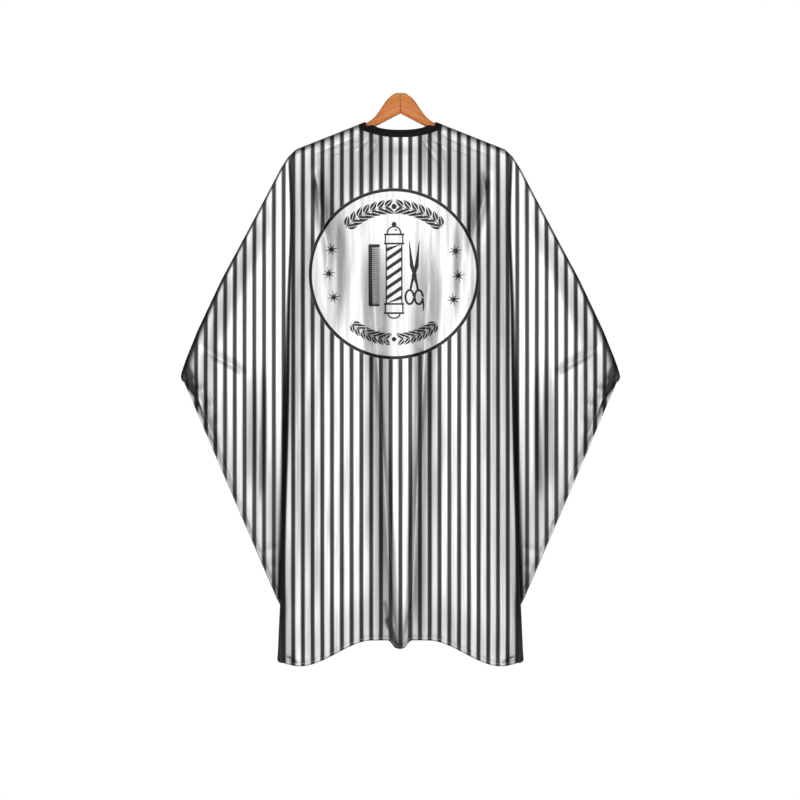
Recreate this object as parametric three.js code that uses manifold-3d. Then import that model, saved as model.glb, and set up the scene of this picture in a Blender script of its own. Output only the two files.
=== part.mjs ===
// A barber cape hung open-backed on a wooden hanger, in millimetres.
// +Z is up, +X is the viewer's right and the front of the cape faces -Y.
// The origin is the top centre of the hanger, where its hook screws in.
import * as THREE from "three";
import { mergeVertices } from "three/addons/utils/BufferGeometryUtils.js";
import Module from "manifold-3d";

const wasm = await Module();
wasm.setup();

// ---- Driving dimensions ----

const clothThickness = 1.2;
const seatClearance = 0.3; // between a piece and what carries it
const seamGap = 0.6; // across the shoulder seam, where a back flap turns
const bandColumnGap = 5.5; // from the band to the nearest point of the cloth's shoulder seam
const bandSeamGap = 1.5; // between the neckband's open edge and the cloth sewn into it

// Hanger
const hangerHalfLength = 222;
const hangerThickness = 12;
const hangerEdgeRadius = 5.2;
const crownDepth = 45; // from the top of the crown to the inner corner
const crownUnderSlope = 0.516; // fall per millimetre of the crown's underside
const armDepth = 20;
const armTipRadius = 8;
const hookHoleRadius = 1.8;
const hookHoleDepth = 28;
const hookSeatRadius = 6.5;

// Front panel
const panelTopHalfWidth = 240.7;
const panelHemSpread = 30.8; // what each side gains from shoulder to hem
const panelSideDepth = 9; // how far forward of the hanger's plane its sides hang
const panelCrown = 28; // how far forward its middle stands past its sides
const valleyDepth = 24;
const valleyWidth = 17;
const valleyTop = -330;
const valleySpread = { top: 58, hem: 10 };
const hemHigh = -1203;
const hemDrop = 57;
const sideTop = -136;

// Shoulder seam: a straight line lying over each hanger arm
const neckCorner = { x: 76, z: -62.7 };
const shoulderCorner = { x: panelTopHalfWidth - 15.7, z: -121.9 };

// Neckband
const bandWidth = 17;
const bandThickness = 3.2;
const bandWall = 0.6;
const elasticWidth = 11;
const elasticThickness = 0.6;
const neckDip = 20.7; // how far the band's top edge dips at the centre front
const neckForward = 31; // how far the band bows forward at the centre front

// Wings, each swinging about an upright fold line
const wingFoldLine = panelTopHalfWidth + 25.3;
const wingTip = { x: wingFoldLine + 217, z: -622 };
const wingTop = { x: wingFoldLine + 12, z: -197 };
const wingLowerEnd = -1118;
const wingBackHem = -566; // where its back layer's hem meets the fold line
const wingGap = 5; // between its front and back layers
const wingEdge = 0.25; // from the fold line to the wing's own edge
const wingTurnClearance = 0.05; // between its turning corner and the pleat's edge
const pleatEdge = Math.hypot(wingEdge, clothThickness / 2) + wingTurnClearance;

// Back flaps
const flapOuterX = shoulderCorner.x + 3;
const flapSlitTop = { x: 40, z: -152 };
const flapSlitFoot = { x: 22, z: -520 };
const flapOuterHem = -546;
const flapDepth = { top: 9.2, hem: 20 };
const flapBow = 2.5; // how far back a flap's middle stands past its two edges

// Snap fasteners along the neckband's ends
const snapRadius = 5;
const snapPitch = 18;
const studCount = 3;
const socketCount = 2;

// Care label
const labelSize = { width: 26, length: 40, thickness: 0.5 };

// ---- Colours ----

const material = (color, roughness, metalness = 0) =>
  new THREE.MeshStandardMaterial({ color, roughness, metalness });
const beech = material("#c9813f", 0.45);
const printedCloth = material("#e9e9ea", 0.5);
const blackKnit = material("#0d0d0f", 0.8);
const whiteElastic = material("#e4e2dc", 0.8);
const blackSnap = material("#2b2b2e", 0.35, 0.8);
const labelSatin = material("#f3f2ee", 0.6);

// ---- Small helpers ----

const point = (x, y, z) => new THREE.Vector3(x, y, z);
const mirrored = (p) => point(-p.x, p.y, p.z);
const blend = THREE.MathUtils.lerp;
const ease = (v, from, to) => THREE.MathUtils.smoothstep(v, from, to);

// Closed geometry from vertices and triangles.
function solidFrom(vertices, triangles) {
  const geometry = new THREE.BufferGeometry();
  const flat = vertices.flatMap((v) => [v.x, v.y, v.z]);
  geometry.setAttribute("position", new THREE.Float32BufferAttribute(flat, 3));
  geometry.setIndex(triangles.flat());
  geometry.computeVertexNormals();
  return geometry;
}

// A sheet of even thickness around a grid of points: rows run down, columns across.
function sheet(grid, thickness) {
  const rows = grid.length;
  const columns = grid[0].length;
  const lastRow = rows - 1;
  const lastColumn = columns - 1;
  const at = (i, j) =>
    grid[Math.min(Math.max(i, 0), lastRow)][Math.min(Math.max(j, 0), lastColumn)];
  const frontFace = [];
  const backFace = [];
  for (let i = 0; i < rows; i++)
    for (let j = 0; j < columns; j++) {
      const down = at(i + 1, j).clone().sub(at(i - 1, j));
      const across = at(i, j + 1).clone().sub(at(i, j - 1));
      const normal = down.cross(across).setLength(thickness / 2);
      frontFace.push(at(i, j).clone().add(normal));
      backFace.push(at(i, j).clone().sub(normal));
    }
  const front = (i, j) => i * columns + j;
  const back = (i, j) => rows * columns + front(i, j);
  const triangles = [];
  const quad = (a, b, c, d) => triangles.push([a, b, c], [a, c, d]);
  for (let i = 0; i < lastRow; i++)
    for (let j = 0; j < lastColumn; j++) {
      quad(front(i, j), front(i + 1, j), front(i + 1, j + 1), front(i, j + 1));
      quad(back(i, j), back(i, j + 1), back(i + 1, j + 1), back(i + 1, j));
    }
  for (let j = 0; j < lastColumn; j++) {
    quad(front(0, j), front(0, j + 1), back(0, j + 1), back(0, j));
    quad(front(lastRow, j + 1), front(lastRow, j), back(lastRow, j), back(lastRow, j + 1));
  }
  for (let i = 0; i < lastRow; i++) {
    quad(front(i + 1, 0), front(i, 0), back(i, 0), back(i + 1, 0));
    const [upper, lower] = [[i, lastColumn], [i + 1, lastColumn]];
    quad(front(...upper), front(...lower), back(...lower), back(...upper));
  }
  return solidFrom([...frontFace, ...backFace], triangles);
}

// A solid through closed rings of points, capped flat at both ends.
function loft(rings) {
  const sides = rings[0].length;
  const triangles = [];
  for (let i = 0; i + 1 < rings.length; i++)
    for (let j = 0; j < sides; j++) {
      const a = i * sides + j;
      const b = i * sides + ((j + 1) % sides);
      triangles.push([a, b, b + sides], [a, b + sides, a + sides]);
    }
  const last = (rings.length - 1) * sides;
  for (let j = 1; j + 1 < sides; j++) {
    triangles.push([0, j + 1, j]);
    triangles.push([last, last + j, last + j + 1]);
  }
  return solidFrom(rings.flat(), triangles);
}

// Turns a geometry into a manifold-3d solid, for cutting and joining.
function toManifold(geometry) {
  const bare = geometry.clone();
  bare.deleteAttribute("normal");
  bare.deleteAttribute("uv");
  const merged = mergeVertices(bare, 1e-4);
  const mesh = new wasm.Mesh({
    numProp: 3,
    vertProperties: new Float32Array(merged.attributes.position.array),
    triVerts: new Uint32Array(merged.index.array),
  });
  return new wasm.Manifold(mesh);
}

// Turns a manifold-3d solid back into a geometry.
function fromManifold(solid) {
  const mesh = solid.getMesh();
  const geometry = new THREE.BufferGeometry();
  geometry.setAttribute("position", new THREE.BufferAttribute(mesh.vertProperties, 3));
  geometry.setIndex(new THREE.BufferAttribute(mesh.triVerts, 1));
  geometry.computeVertexNormals();
  return geometry;
}

// ---- The shoulder seam ----

const seamSlope = (shoulderCorner.z - neckCorner.z) / (shoulderCorner.x - neckCorner.x);
const seamStretch = Math.hypot(1, seamSlope); // vertical drop that gives a square offset of 1
const seamZ = (x) => neckCorner.z + seamSlope * (Math.abs(x) - neckCorner.x);
const bandOuterX = neckCorner.x + bandWidth / seamStretch;

// ---- Hanger ----

const clothDrop = (clothThickness + seatClearance) * seamStretch;
const bandDrop = (bandThickness + seatClearance) * seamStretch;
// The arm's top edge: a round crown, a flare, then a line that carries the band and the cloth.
const crownEdge = new THREE.SplineCurve([
  new THREE.Vector2(0, 1),
  new THREE.Vector2(8, 0.6),
  new THREE.Vector2(20, -5.5),
  new THREE.Vector2(33.7, -19.9),
  new THREE.Vector2(50.5, -45),
  new THREE.Vector2(62, -57.2),
  new THREE.Vector2(neckCorner.x, seamZ(neckCorner.x) - bandDrop),
]);
const bandStepEnd = bandOuterX + 20; // where the arm has risen from band level to cloth level
const armTop = (x) => seamZ(x) - blend(bandDrop, clothDrop, ease(x, bandOuterX, bandStepEnd));
const armUnder = (x) => {
  const straightUnder = armTop(Math.max(x, neckCorner.x)) - armDepth * seamStretch;
  return Math.max(-crownDepth - crownUnderSlope * x, straightUnder);
};

// A ring round the hanger at one station, with rounded edges.
function hangerRing(x, top, under) {
  const cornerSteps = 3;
  const halfThick = hangerThickness / 2;
  const halfTall = (top - under) / 2;
  const radius = Math.min(hangerEdgeRadius, halfTall * 0.9);
  const ring = [];
  for (const [ySign, zSign, turn] of [[1, 1, 0], [-1, 1, 1], [-1, -1, 2], [1, -1, 3]])
    for (let k = 0; k <= cornerSteps; k++) {
      const angle = (turn + k / cornerSteps) * (Math.PI / 2);
      const y = ySign * (halfThick - radius) + radius * Math.cos(angle);
      const z = (top + under) / 2 + zSign * (halfTall - radius) + radius * Math.sin(angle);
      ring.push(point(x, y, z));
    }
  return ring;
}

function hangerArm(side) {
  const rings = crownEdge
    .getPoints(12)
    .slice(0, -1)
    .map((p) => hangerRing(p.x, p.y, armUnder(p.x)));
  const straightEnd = hangerHalfLength - armTipRadius;
  const bandMiddle = (neckCorner.x + bandOuterX) / 2;
  const stepMiddle = (bandOuterX + bandStepEnd) / 2;
  for (const x of [neckCorner.x, bandMiddle, bandOuterX, stepMiddle, bandStepEnd, straightEnd])
    rings.push(hangerRing(x, armTop(x), armUnder(x)));
  for (const turn of [0.35, 0.7, 0.92, 1]) {
    const x = straightEnd + armTipRadius * turn;
    const shrink = armTipRadius * (1 - Math.sqrt(1 - turn * turn)) * 0.9;
    rings.push(hangerRing(x, armTop(x) - shrink, armUnder(x) + shrink));
  }
  let arm = loft(rings);
  const hole = new THREE.CylinderGeometry(hookHoleRadius, hookHoleRadius, 2 * hookHoleDepth, 16);
  hole.rotateX(Math.PI / 2);
  const spotFace = new THREE.CylinderGeometry(hookSeatRadius, hookSeatRadius, 20, 24);
  spotFace.rotateX(Math.PI / 2);
  spotFace.translate(0, 0, 10);
  arm = fromManifold(toManifold(arm).subtract(toManifold(hole)).subtract(toManifold(spotFace)));
  if (side < 0) arm.rotateZ(Math.PI);
  return arm;
}

// ---- Neckband ----

// The two edges of the front half, from the left shoulder seam to the right one.
const seamY = seamGap / 2;
const overArm = hangerThickness / 2 + bandThickness / 2 + seatClearance + 0.8;
const seamLevel = (x) => seamZ(x) - (bandThickness / 2) * seamStretch;
// How the band rolls over the arm: distance from the seam's plane, and drop.
const seamRoll = [
  [seamY, 0],
  [overArm * 0.36, 0.1],
  [overArm * 0.74, 2],
];
const frontTopHalf = [
  ...seamRoll.map(([y, drop]) => point(-neckCorner.x, -y, seamLevel(neckCorner.x) - drop)),
  point(-neckCorner.x + 2, -overArm - 1.6, seamLevel(neckCorner.x) - 8),
  point(-62, -17, -72),
  point(-46, -23.5, -78.4),
  point(-23, -neckForward + 1.6, neckCorner.z - neckDip + 0.9),
];
const frontOuterHalf = [
  ...seamRoll.map(([y, drop]) => point(-bandOuterX, -y, seamLevel(bandOuterX) - drop)),
  point(-bandOuterX + 2.5, -overArm - 1.6, seamLevel(bandOuterX) - 9),
  point(-75, -16, -86.5),
  point(-54, -22.5, -93.4),
  point(-27, -neckForward + 2.6, -98.8),
];
const wholeFront = (half, centre) => [...half, centre, ...half.map(mirrored).reverse()];
const frontTopEdge = new THREE.CatmullRomCurve3(
  wholeFront(frontTopHalf, point(0, -neckForward, neckCorner.z - neckDip)),
);
const frontOuterEdge = new THREE.CatmullRomCurve3(
  wholeFront(frontOuterHalf, point(0, -neckForward + 1, neckCorner.z - neckDip - bandWidth + 0.4)),
);

// The two edges of a back half, from the shoulder seam to its free end, on the left.
const backTopEdge = new THREE.CatmullRomCurve3([
  ...seamRoll.map(([y, drop]) => point(-neckCorner.x, y, seamLevel(neckCorner.x) - drop)),
  point(-neckCorner.x + 1, overArm + 0.8, seamLevel(neckCorner.x) - 9),
  point(-67, overArm + 2, -95),
  point(-51.5, overArm + 3, -119),
  point(-flapSlitTop.x + 11.5, overArm + 3.5, flapSlitTop.z + 13),
]);
const backOuterEdge = new THREE.CatmullRomCurve3([
  ...seamRoll.map(([y, drop]) => point(-bandOuterX, y, seamLevel(bandOuterX) - drop)),
  point(-bandOuterX + 1, overArm + 0.8, seamLevel(bandOuterX) - 10),
  point(-82.5, overArm + 2, -103),
  point(-64, overArm + 3, -131),
  point(-flapSlitTop.x, overArm + 3.5, flapSlitTop.z),
]);

// Where the cloth begins, just past the band's open edge.
function beyondBand(topEdge, outerEdge, t) {
  const outer = outerEdge.getPoint(t);
  return outer.addScaledVector(outer.clone().sub(topEdge.getPoint(t)).normalize(), bandSeamGap);
}

// A folded binding, open along its outer edge, that wraps the elastic.
function binding(topEdge, outerEdge, steps) {
  const lift = (bandThickness - bandWall) / 2;
  const foldShare = (lift + bandWall / 2) / bandWidth;
  const section = [[1, -lift], [0.55, -lift], [foldShare, -lift]];
  for (const degrees of [-60, -30, 0, 30, 60]) {
    const turn = THREE.MathUtils.degToRad(degrees);
    section.push([foldShare * (1 - Math.cos(turn)) + bandWall / 2 / bandWidth, lift * Math.sin(turn)]);
  }
  section.push([foldShare, lift], [0.55, lift], [1, lift]);
  const rows = section.map(() => []);
  for (let k = 0; k <= steps; k++) {
    const t = k / steps;
    const top = topEdge.getPoint(t);
    const across = outerEdge.getPoint(t).sub(top);
    const normal = across.clone().cross(topEdge.getTangent(t)).normalize();
    section.forEach(([share, rise], i) =>
      rows[i].push(top.clone().addScaledVector(across, share).addScaledVector(normal, rise)),
    );
  }
  return sheet(rows, bandWall);
}

// The elastic tape inside it, held clear of the fold and of both ends.
function elastic(topEdge, outerEdge, steps) {
  const from = (bandThickness / 2 + bandWall) / bandWidth;
  const rows = [0, 0.5, 1].map((across) => {
    const row = [];
    for (let k = 1; k < steps; k++) {
      const share = from + (across * elasticWidth) / bandWidth;
      row.push(topEdge.getPoint(k / steps).lerp(outerEdge.getPoint(k / steps), share));
    }
    return row;
  });
  return sheet(rows, elasticThickness);
}

// ---- Front panel ----

const hemZ = (x) =>
  hemHigh - hemDrop * ease(Math.abs(x), 65, 226) - 17 * Math.exp(-((x / 14) ** 2));
const lengthShare = (z) => Math.min(Math.max((sideTop - 31 - z) / 1083, 0), 1.02);
const halfWidth = (z) => panelTopHalfWidth + panelHemSpread * lengthShare(z) ** 2.5;

// How far back the panel's middle surface lies, with its two central valleys.
function panelY(x, z) {
  const share = Math.min(Math.abs(x) / halfWidth(z), 1);
  const down = Math.min(Math.max((valleyTop - z) / (valleyTop - hemHigh), 0), 1);
  const valleyX = blend(valleySpread.top, valleySpread.hem, down ** 1.1);
  const cut = Math.exp(-(((Math.abs(x) - valleyX) / valleyWidth) ** 2));
  const bow = panelCrown * (1 - share ** 2.4);
  return -panelSideDepth - bow + valleyDepth * ease(down, 0, 0.4) * cut;
}

// The top boundary of one half, from the shoulder's end to the centre front.
function panelTopPoint(x) {
  const clothLevel = (clothThickness / 2) * seamStretch;
  if (Math.abs(x) >= shoulderCorner.x) {
    const round = (Math.abs(x) - shoulderCorner.x) / (panelTopHalfWidth - shoulderCorner.x);
    const fall = -sideTop + shoulderCorner.z;
    return point(x, -seamY - 4 * round, shoulderCorner.z - clothLevel - fall * round ** 1.4);
  }
  return point(x, -seamY, seamZ(x) - clothLevel);
}

function panelTopBoundary() {
  const seamStops = [1, 0.965, 0.93, 0.83, 0.7, 0.58, 0.47].map((s) => s * panelTopHalfWidth);
  const left = [...seamStops, bandOuterX + bandColumnGap].map((x) => panelTopPoint(-x));
  for (const t of [0.13, 0.18, 0.22, 0.27, 0.32, 0.38, 0.44])
    left.push(beyondBand(frontTopEdge, frontOuterEdge, t));
  const centre = beyondBand(frontTopEdge, frontOuterEdge, 0.5);
  return [...left, centre, ...left.map(mirrored).reverse()];
}

// Rows that roll over the hanger's arm, then fall to a hem.
function fallingGrid(boundary, depthAt, hemAt, xAt, levels) {
  const rollDrop = 9;
  const grid = [0, 30, 60, 90].map((degrees) => {
    const turn = THREE.MathUtils.degToRad(degrees);
    return boundary.map((p) => {
      const z = p.z - rollDrop * (1 - Math.cos(turn)) ** 1.25;
      const y = blend(p.y, depthAt(p.x, p.z - rollDrop), Math.sin(turn));
      return point(p.x, y, z);
    });
  });
  for (let i = 1; i <= levels; i++)
    grid.push(
      boundary.map((p) => {
        const top = p.z - rollDrop;
        const xHem = xAt(p, hemAt(p.x));
        const z = blend(top, hemAt(xHem), i / levels);
        const x = xAt(p, z);
        return point(x, depthAt(x, z), z);
      }),
    );
  return grid;
}

function frontPanel() {
  const spreadX = (p, z) => (p.x * halfWidth(z)) / panelTopHalfWidth;
  const grid = fallingGrid(panelTopBoundary(), panelY, hemZ, spreadX, 13);
  return sheet(grid, clothThickness);
}

// ---- Side pleats: the still strip of cloth between the front panel and a wing ----

function sidePleat(side) {
  const innerX = hangerHalfLength + 6;
  const outerX = wingFoldLine - pleatEdge;
  const behindPanel = (x, z) => panelY(x, z) + clothThickness + seatClearance;
  const shoulderEdge = (x) => -143 - 33 * ((x - innerX) / (outerX - innerX)) ** 1.15;
  const rows = 12;
  const grid = [];
  for (let i = 0; i <= rows; i++) {
    const row = [];
    for (const across of [0, 0.33, 0.66, 1]) {
      const x = blend(innerX, outerX, across);
      const z = blend(shoulderEdge(x), wingLowerEnd - 3, i / rows);
      row.push(point(side * x, blend(behindPanel(x, z), 0, ease(across, 0.2, 1)), z));
    }
    grid.push(side < 0 ? row : row.reverse());
  }
  return sheet(grid, clothThickness);
}

// ---- Wings: cloth folded over a slanting edge, with a short back layer ----

function wing(side) {
  const rootX = wingFoldLine + wingEdge;
  const steps = 12;
  const foldRadius = wingGap / 2;
  const grid = [];
  for (let i = 0; i <= steps; i++) {
    const t = i / steps;
    const fold = { x: blend(wingTop.x, wingTip.x, t), z: blend(wingTop.z, wingTip.z, t) };
    const front = { x: rootX, z: blend(wingTop.z, wingLowerEnd, t) };
    const back = { x: rootX + 4, z: blend(wingTop.z, wingBackHem, t) };
    const row = [];
    for (const s of [0, 0.25, 0.5, 0.75, 0.96]) {
      const sag = -6 * Math.sin(Math.PI * s) * Math.min(1, t * 3);
      row.push(point(blend(front.x, fold.x - foldRadius, s), sag, blend(front.z, fold.z, s)));
    }
    for (const degrees of [-45, 0, 45]) {
      const turn = THREE.MathUtils.degToRad(degrees);
      const y = foldRadius + foldRadius * Math.sin(turn);
      row.push(point(fold.x - foldRadius + foldRadius * Math.cos(turn), y, fold.z));
    }
    for (const s of [0.94, 0.7, 0.35, 0]) {
      const x = blend(back.x, fold.x - foldRadius, s);
      row.push(point(x, wingGap + 3 * (1 - s), blend(back.z, fold.z, s)));
    }
    grid.push(row.map((p) => point(side * p.x, p.y, p.z)));
  }
  return sheet(grid, clothThickness);
}

// ---- Back flaps ----

function flapY(x, z) {
  const middle = (flapSlitTop.x + flapOuterX) / 2;
  const across = (Math.abs(x) - middle) / middle;
  const bow = flapBow * (1 - across * across) * ease(-z, 120, 200);
  return blend(flapDepth.top, flapDepth.hem, ease(-z, 120, 540)) + bow;
}

function flapBoundary() {
  const clothLevel = (clothThickness / 2) * seamStretch;
  const points = [flapOuterX, 200, 170, 140, 115, bandOuterX + bandColumnGap].map((x) =>
    point(-x, seamY, seamZ(Math.min(x, shoulderCorner.x)) - clothLevel),
  );
  for (const t of [0.4, 0.55, 0.7, 0.85, 1])
    points.push(beyondBand(backTopEdge, backOuterEdge, t));
  return points;
}

function backFlap(side) {
  const outerFoot = flapOuterX + 3;
  const hemAt = (x) => blend(flapSlitFoot.z, flapOuterHem, (Math.abs(x) - 22) / 210);
  const spreadX = (p, z) => {
    const across = (-p.x - flapSlitTop.x) / (flapOuterX - flapSlitTop.x);
    const foot = -blend(flapSlitFoot.x, outerFoot, across);
    return blend(p.x, foot, ease(p.z - z, 0, 380));
  };
  const grid = fallingGrid(flapBoundary(), flapY, hemAt, spreadX, 7);
  return sheet(side < 0 ? grid : grid.map((row) => row.map(mirrored)), clothThickness);
}

// ---- Snap fasteners ----

// A turned piece from a half profile of radii and heights, standing along +Y.
const turned = (profile) =>
  new THREE.LatheGeometry(profile.map(([radius, height]) => new THREE.Vector2(radius, height)), 16);
const rim = snapRadius;
const capProfile = [[0, 0], [rim - 0.2, 0], [rim, 0.5], [rim * 0.8, 1.3], [rim * 0.4, 1.8], [0, 1.9]];
const ringProfile = [[0, 0], [rim, 0], [rim, 0.8], [rim * 0.7, 1.1], [rim * 0.35, 0.7], [0, 0.7]];
const studNeck = rim * 0.3;
const studHead = rim * 0.39;
const studProfile = [
  [0, 0],
  [rim, 0],
  [rim, 0.6],
  [studHead, 1],
  [studNeck, 1.6],
  [studHead, 2.5],
  [studNeck, 3.1],
  [0, 3.2],
];
const socketMouth = studHead + 0.1;
const socketProfile = [
  [0, 0],
  [rim, 0],
  [rim, 1.6],
  [rim * 0.7, 2.6],
  [socketMouth + 0.3, 2.6],
  [socketMouth, 1],
  [0, 1],
];

// Where snap number k sits on the left half's end, and the way the band faces there.
function snapSeat(k) {
  const reach = backTopEdge.getLength();
  const t = 1 - (snapRadius + 3.5 + k * snapPitch) / reach;
  const top = backTopEdge.getPointAt(t);
  const outer = backOuterEdge.getPointAt(t);
  const along = backTopEdge.getTangentAt(t);
  const normal = outer.clone().sub(top).cross(along).normalize();
  if (normal.y < 0) normal.negate();
  return { centre: top.lerp(outer, 0.5), normal };
}

function snapPiece(profile, side, k, outward) {
  const { centre, normal } = snapSeat(k);
  const facing = outward ? normal : normal.clone().negate();
  const lift = bandThickness / 2 + seatClearance;
  const geometry = turned(profile);
  const up = point(0, 1, 0);
  const facingHere = side < 0 ? facing : mirrored(facing);
  const seat = centre.clone().addScaledVector(facing, lift);
  geometry.applyQuaternion(new THREE.Quaternion().setFromUnitVectors(up, facingHere));
  const place = side < 0 ? seat : mirrored(seat);
  geometry.translate(place.x, place.y, place.z);
  return geometry;
}

// ---- Care label, sewn inside the left flap ----

function careLabel() {
  const { width, length, thickness } = labelSize;
  const topZ = -205;
  const columns = [-110 - width / 2, -110, -110 + width / 2];
  const rows = [0, 0.5, 1].map((t) => topZ - length * t);
  const offset = clothThickness / 2 + seatClearance + thickness / 2;
  const grid = rows.map((z) => columns.map((x) => point(x, flapY(x, z) - offset, z)));
  return sheet(grid, thickness);
}

// ---- Assembly ----

const cape = new THREE.Group();
function add(name, geometry, finish) {
  const mesh = new THREE.Mesh(geometry, finish);
  mesh.name = name;
  cape.add(mesh);
}

add("front_panel", frontPanel(), printedCloth);
add("neckband_front", binding(frontTopEdge, frontOuterEdge, 22), blackKnit);
add("elastic_front", elastic(frontTopEdge, frontOuterEdge, 22), whiteElastic);
for (const [side, name] of [[-1, "left"], [1, "right"]]) {
  add(`hanger_arm_${name}`, hangerArm(side), beech);
  add(`side_pleat_${name}`, sidePleat(side), printedCloth);
  add(`wing_${name}`, wing(side), printedCloth);
  add(`back_flap_${name}`, backFlap(side), printedCloth);
  const flip = (curve) =>
    side < 0 ? curve : new THREE.CatmullRomCurve3(curve.points.map(mirrored));
  const edges = [flip(backTopEdge), flip(backOuterEdge)];
  add(`neckband_back_${name}`, binding(...edges, 12), blackKnit);
  add(`elastic_back_${name}`, elastic(...edges, 12), whiteElastic);
}
for (let k = 0; k < studCount; k++) {
  add(`snap_stud_${k + 1}`, snapPiece(studProfile, -1, k, true), blackSnap);
  add(`snap_ring_${k + 1}`, snapPiece(ringProfile, -1, k, false), blackSnap);
}
for (let k = 0; k < socketCount; k++) {
  add(`snap_cap_${k + 1}`, snapPiece(capProfile, 1, k, true), blackSnap);
  add(`snap_socket_${k + 1}`, snapPiece(socketProfile, 1, k, false), blackSnap);
}
add("care_label", careLabel(), labelSatin);

export default cape;
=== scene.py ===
# %% [markdown]
# # A barber cape on a wooden hanger
# This lesson builds the looks of a striped satin cape that hangs, open at the back, on a wooden hanger.
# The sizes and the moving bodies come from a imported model, the frame, and nothing here moves or resizes them.
# Cloth is made as fine grids of points that follow the way the real cape hangs.

# %% Load the frame
import math

import bmesh
import bpy
import numpy as np
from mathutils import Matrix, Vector
from mathutils.bvhtree import BVHTree
from mathutils.geometry import tessellate_polygon


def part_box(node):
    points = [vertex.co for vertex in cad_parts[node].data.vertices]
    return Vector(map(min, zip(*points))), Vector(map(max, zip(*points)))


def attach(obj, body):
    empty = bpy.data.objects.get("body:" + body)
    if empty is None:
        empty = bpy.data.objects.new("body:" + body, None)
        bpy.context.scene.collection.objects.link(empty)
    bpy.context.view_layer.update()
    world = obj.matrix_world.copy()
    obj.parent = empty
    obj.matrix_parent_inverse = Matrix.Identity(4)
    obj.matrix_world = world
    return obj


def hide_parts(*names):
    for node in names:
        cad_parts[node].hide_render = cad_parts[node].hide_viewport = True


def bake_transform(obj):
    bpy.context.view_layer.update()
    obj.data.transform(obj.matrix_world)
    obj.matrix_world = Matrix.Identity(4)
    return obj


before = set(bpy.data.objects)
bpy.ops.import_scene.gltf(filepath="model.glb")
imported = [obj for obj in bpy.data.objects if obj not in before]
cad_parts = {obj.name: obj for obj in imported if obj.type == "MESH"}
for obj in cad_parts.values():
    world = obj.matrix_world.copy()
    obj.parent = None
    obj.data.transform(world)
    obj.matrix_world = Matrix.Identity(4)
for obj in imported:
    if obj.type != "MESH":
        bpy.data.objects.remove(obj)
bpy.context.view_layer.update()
MM = 0.001

# %% [markdown]
# ## The camera
# The cape is seen straight from the front. A long lens far away keeps its stripes parallel, and the wide
# framing leaves pale room all round. The same small function will put every piece and lamp in the scene.

# %% Camera
FRAME_WIDTH = 1.76
CAMERA_DISTANCE = 6.0
CAMERA_X, CAMERA_HEIGHT = -0.001, -0.675
SENSOR = 36.0


def add_object(name, data):
    """A new object in the scene with this data."""
    thing = bpy.data.objects.new(name, data)
    bpy.context.collection.objects.link(thing)
    return thing


camera_data = bpy.data.cameras.new("camera")
camera_data.sensor_width = SENSOR
camera_data.lens = SENSOR * CAMERA_DISTANCE / FRAME_WIDTH
camera_data.clip_end = 50
camera = add_object("camera", camera_data)
camera.location = (CAMERA_X, -CAMERA_DISTANCE, CAMERA_HEIGHT)
camera.rotation_euler = (math.pi / 2, 0, 0)
bpy.context.scene.camera = camera
print("lens", round(camera_data.lens, 1), "mm")

# %% [markdown]
# ## Helpers for cloth
# Every sheet starts as a grid of points in space with a matching grid of flat cloth coordinates.
# The flat coordinates become the UV map, so that the printed stripes stay straight on folded cloth.


# %% Grid helpers
def ease(value, start, end):
    """Smooth step from 0 at start to 1 at end."""
    t = np.clip((value - start) / (end - start), 0, 1)
    return t * t * (3 - 2 * t)


def ramp(value, points):
    """Straight lines through (place, height) pairs."""
    places, heights = zip(*sorted(points))
    return np.interp(value, places, heights)


def bell(away, width, power=2):
    """1 in the middle, falling smoothly to 0 beyond the width. A higher power makes its top flatter."""
    return np.exp(-((away / width) ** power))


def roll_over(below_top, distance):
    """Rises from 0 at a top edge to 1 this far below it, as a quarter circle does."""
    return np.sqrt(np.clip(1 - (1 - ease(below_top, 0, distance)) ** 2, 0, 1))


def travelled(line, power=1):
    """How far each point of a line lies along it. A power below 1 evens out its steps."""
    return np.concatenate([[0], np.cumsum(np.linalg.norm(np.diff(line, axis=0), axis=1) ** power)])


def unit(vectors):
    """The same directions with length 1."""
    return vectors / np.maximum(np.linalg.norm(vectors, axis=-1, keepdims=True), 1e-12)


def grid_object(name, points, flat, painted_shade=None):
    """Quads through a grid of points, with a UV map of flat coordinates and a painted shade for each point."""
    rows, columns = points.shape[:2]
    index = np.arange(rows * columns).reshape(rows, columns)
    quads = np.stack([index[:-1, :-1], index[1:, :-1], index[1:, 1:], index[:-1, 1:]], axis=-1)
    mesh = bpy.data.meshes.new(name)
    mesh.from_pydata(points.reshape(-1, 3).tolist(), [], quads.reshape(-1, 4).tolist())
    uv = mesh.uv_layers.new(name="cloth")
    corner = np.empty(len(mesh.loops), dtype=np.int32)
    mesh.loops.foreach_get("vertex_index", corner)
    uv.data.foreach_set("uv", flat.reshape(-1, 2)[corner].astype(np.float32).ravel())
    if painted_shade is not None:
        attribute = mesh.attributes.new("painted_shade", "FLOAT", "POINT")
        attribute.data.foreach_set("value", painted_shade.astype(np.float32).ravel())
    mesh.shade_smooth()
    return add_object(name, mesh)


# %% Helpers for editing
def select_only(piece):
    """Deselects everything, then selects this piece alone."""
    bpy.ops.object.select_all(action="DESELECT")
    piece.select_set(True)
    bpy.context.view_layer.objects.active = piece


def apply_modifier(piece, kind, **settings):
    """Adds a modifier with its settings and applies it."""
    select_only(piece)
    modifier = piece.modifiers.new(kind.lower(), kind)
    for key, value in settings.items():
        setattr(modifier, key, value)
    bpy.ops.object.modifier_apply(modifier=modifier.name)


def edit_merged(piece, threshold):
    """Opens a piece in edit mode, all selected, with the points that lie together merged."""
    select_only(piece)
    bpy.ops.object.mode_set(mode="EDIT")
    bpy.ops.mesh.select_all(action="SELECT")
    bpy.ops.mesh.remove_doubles(threshold=threshold)


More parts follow.
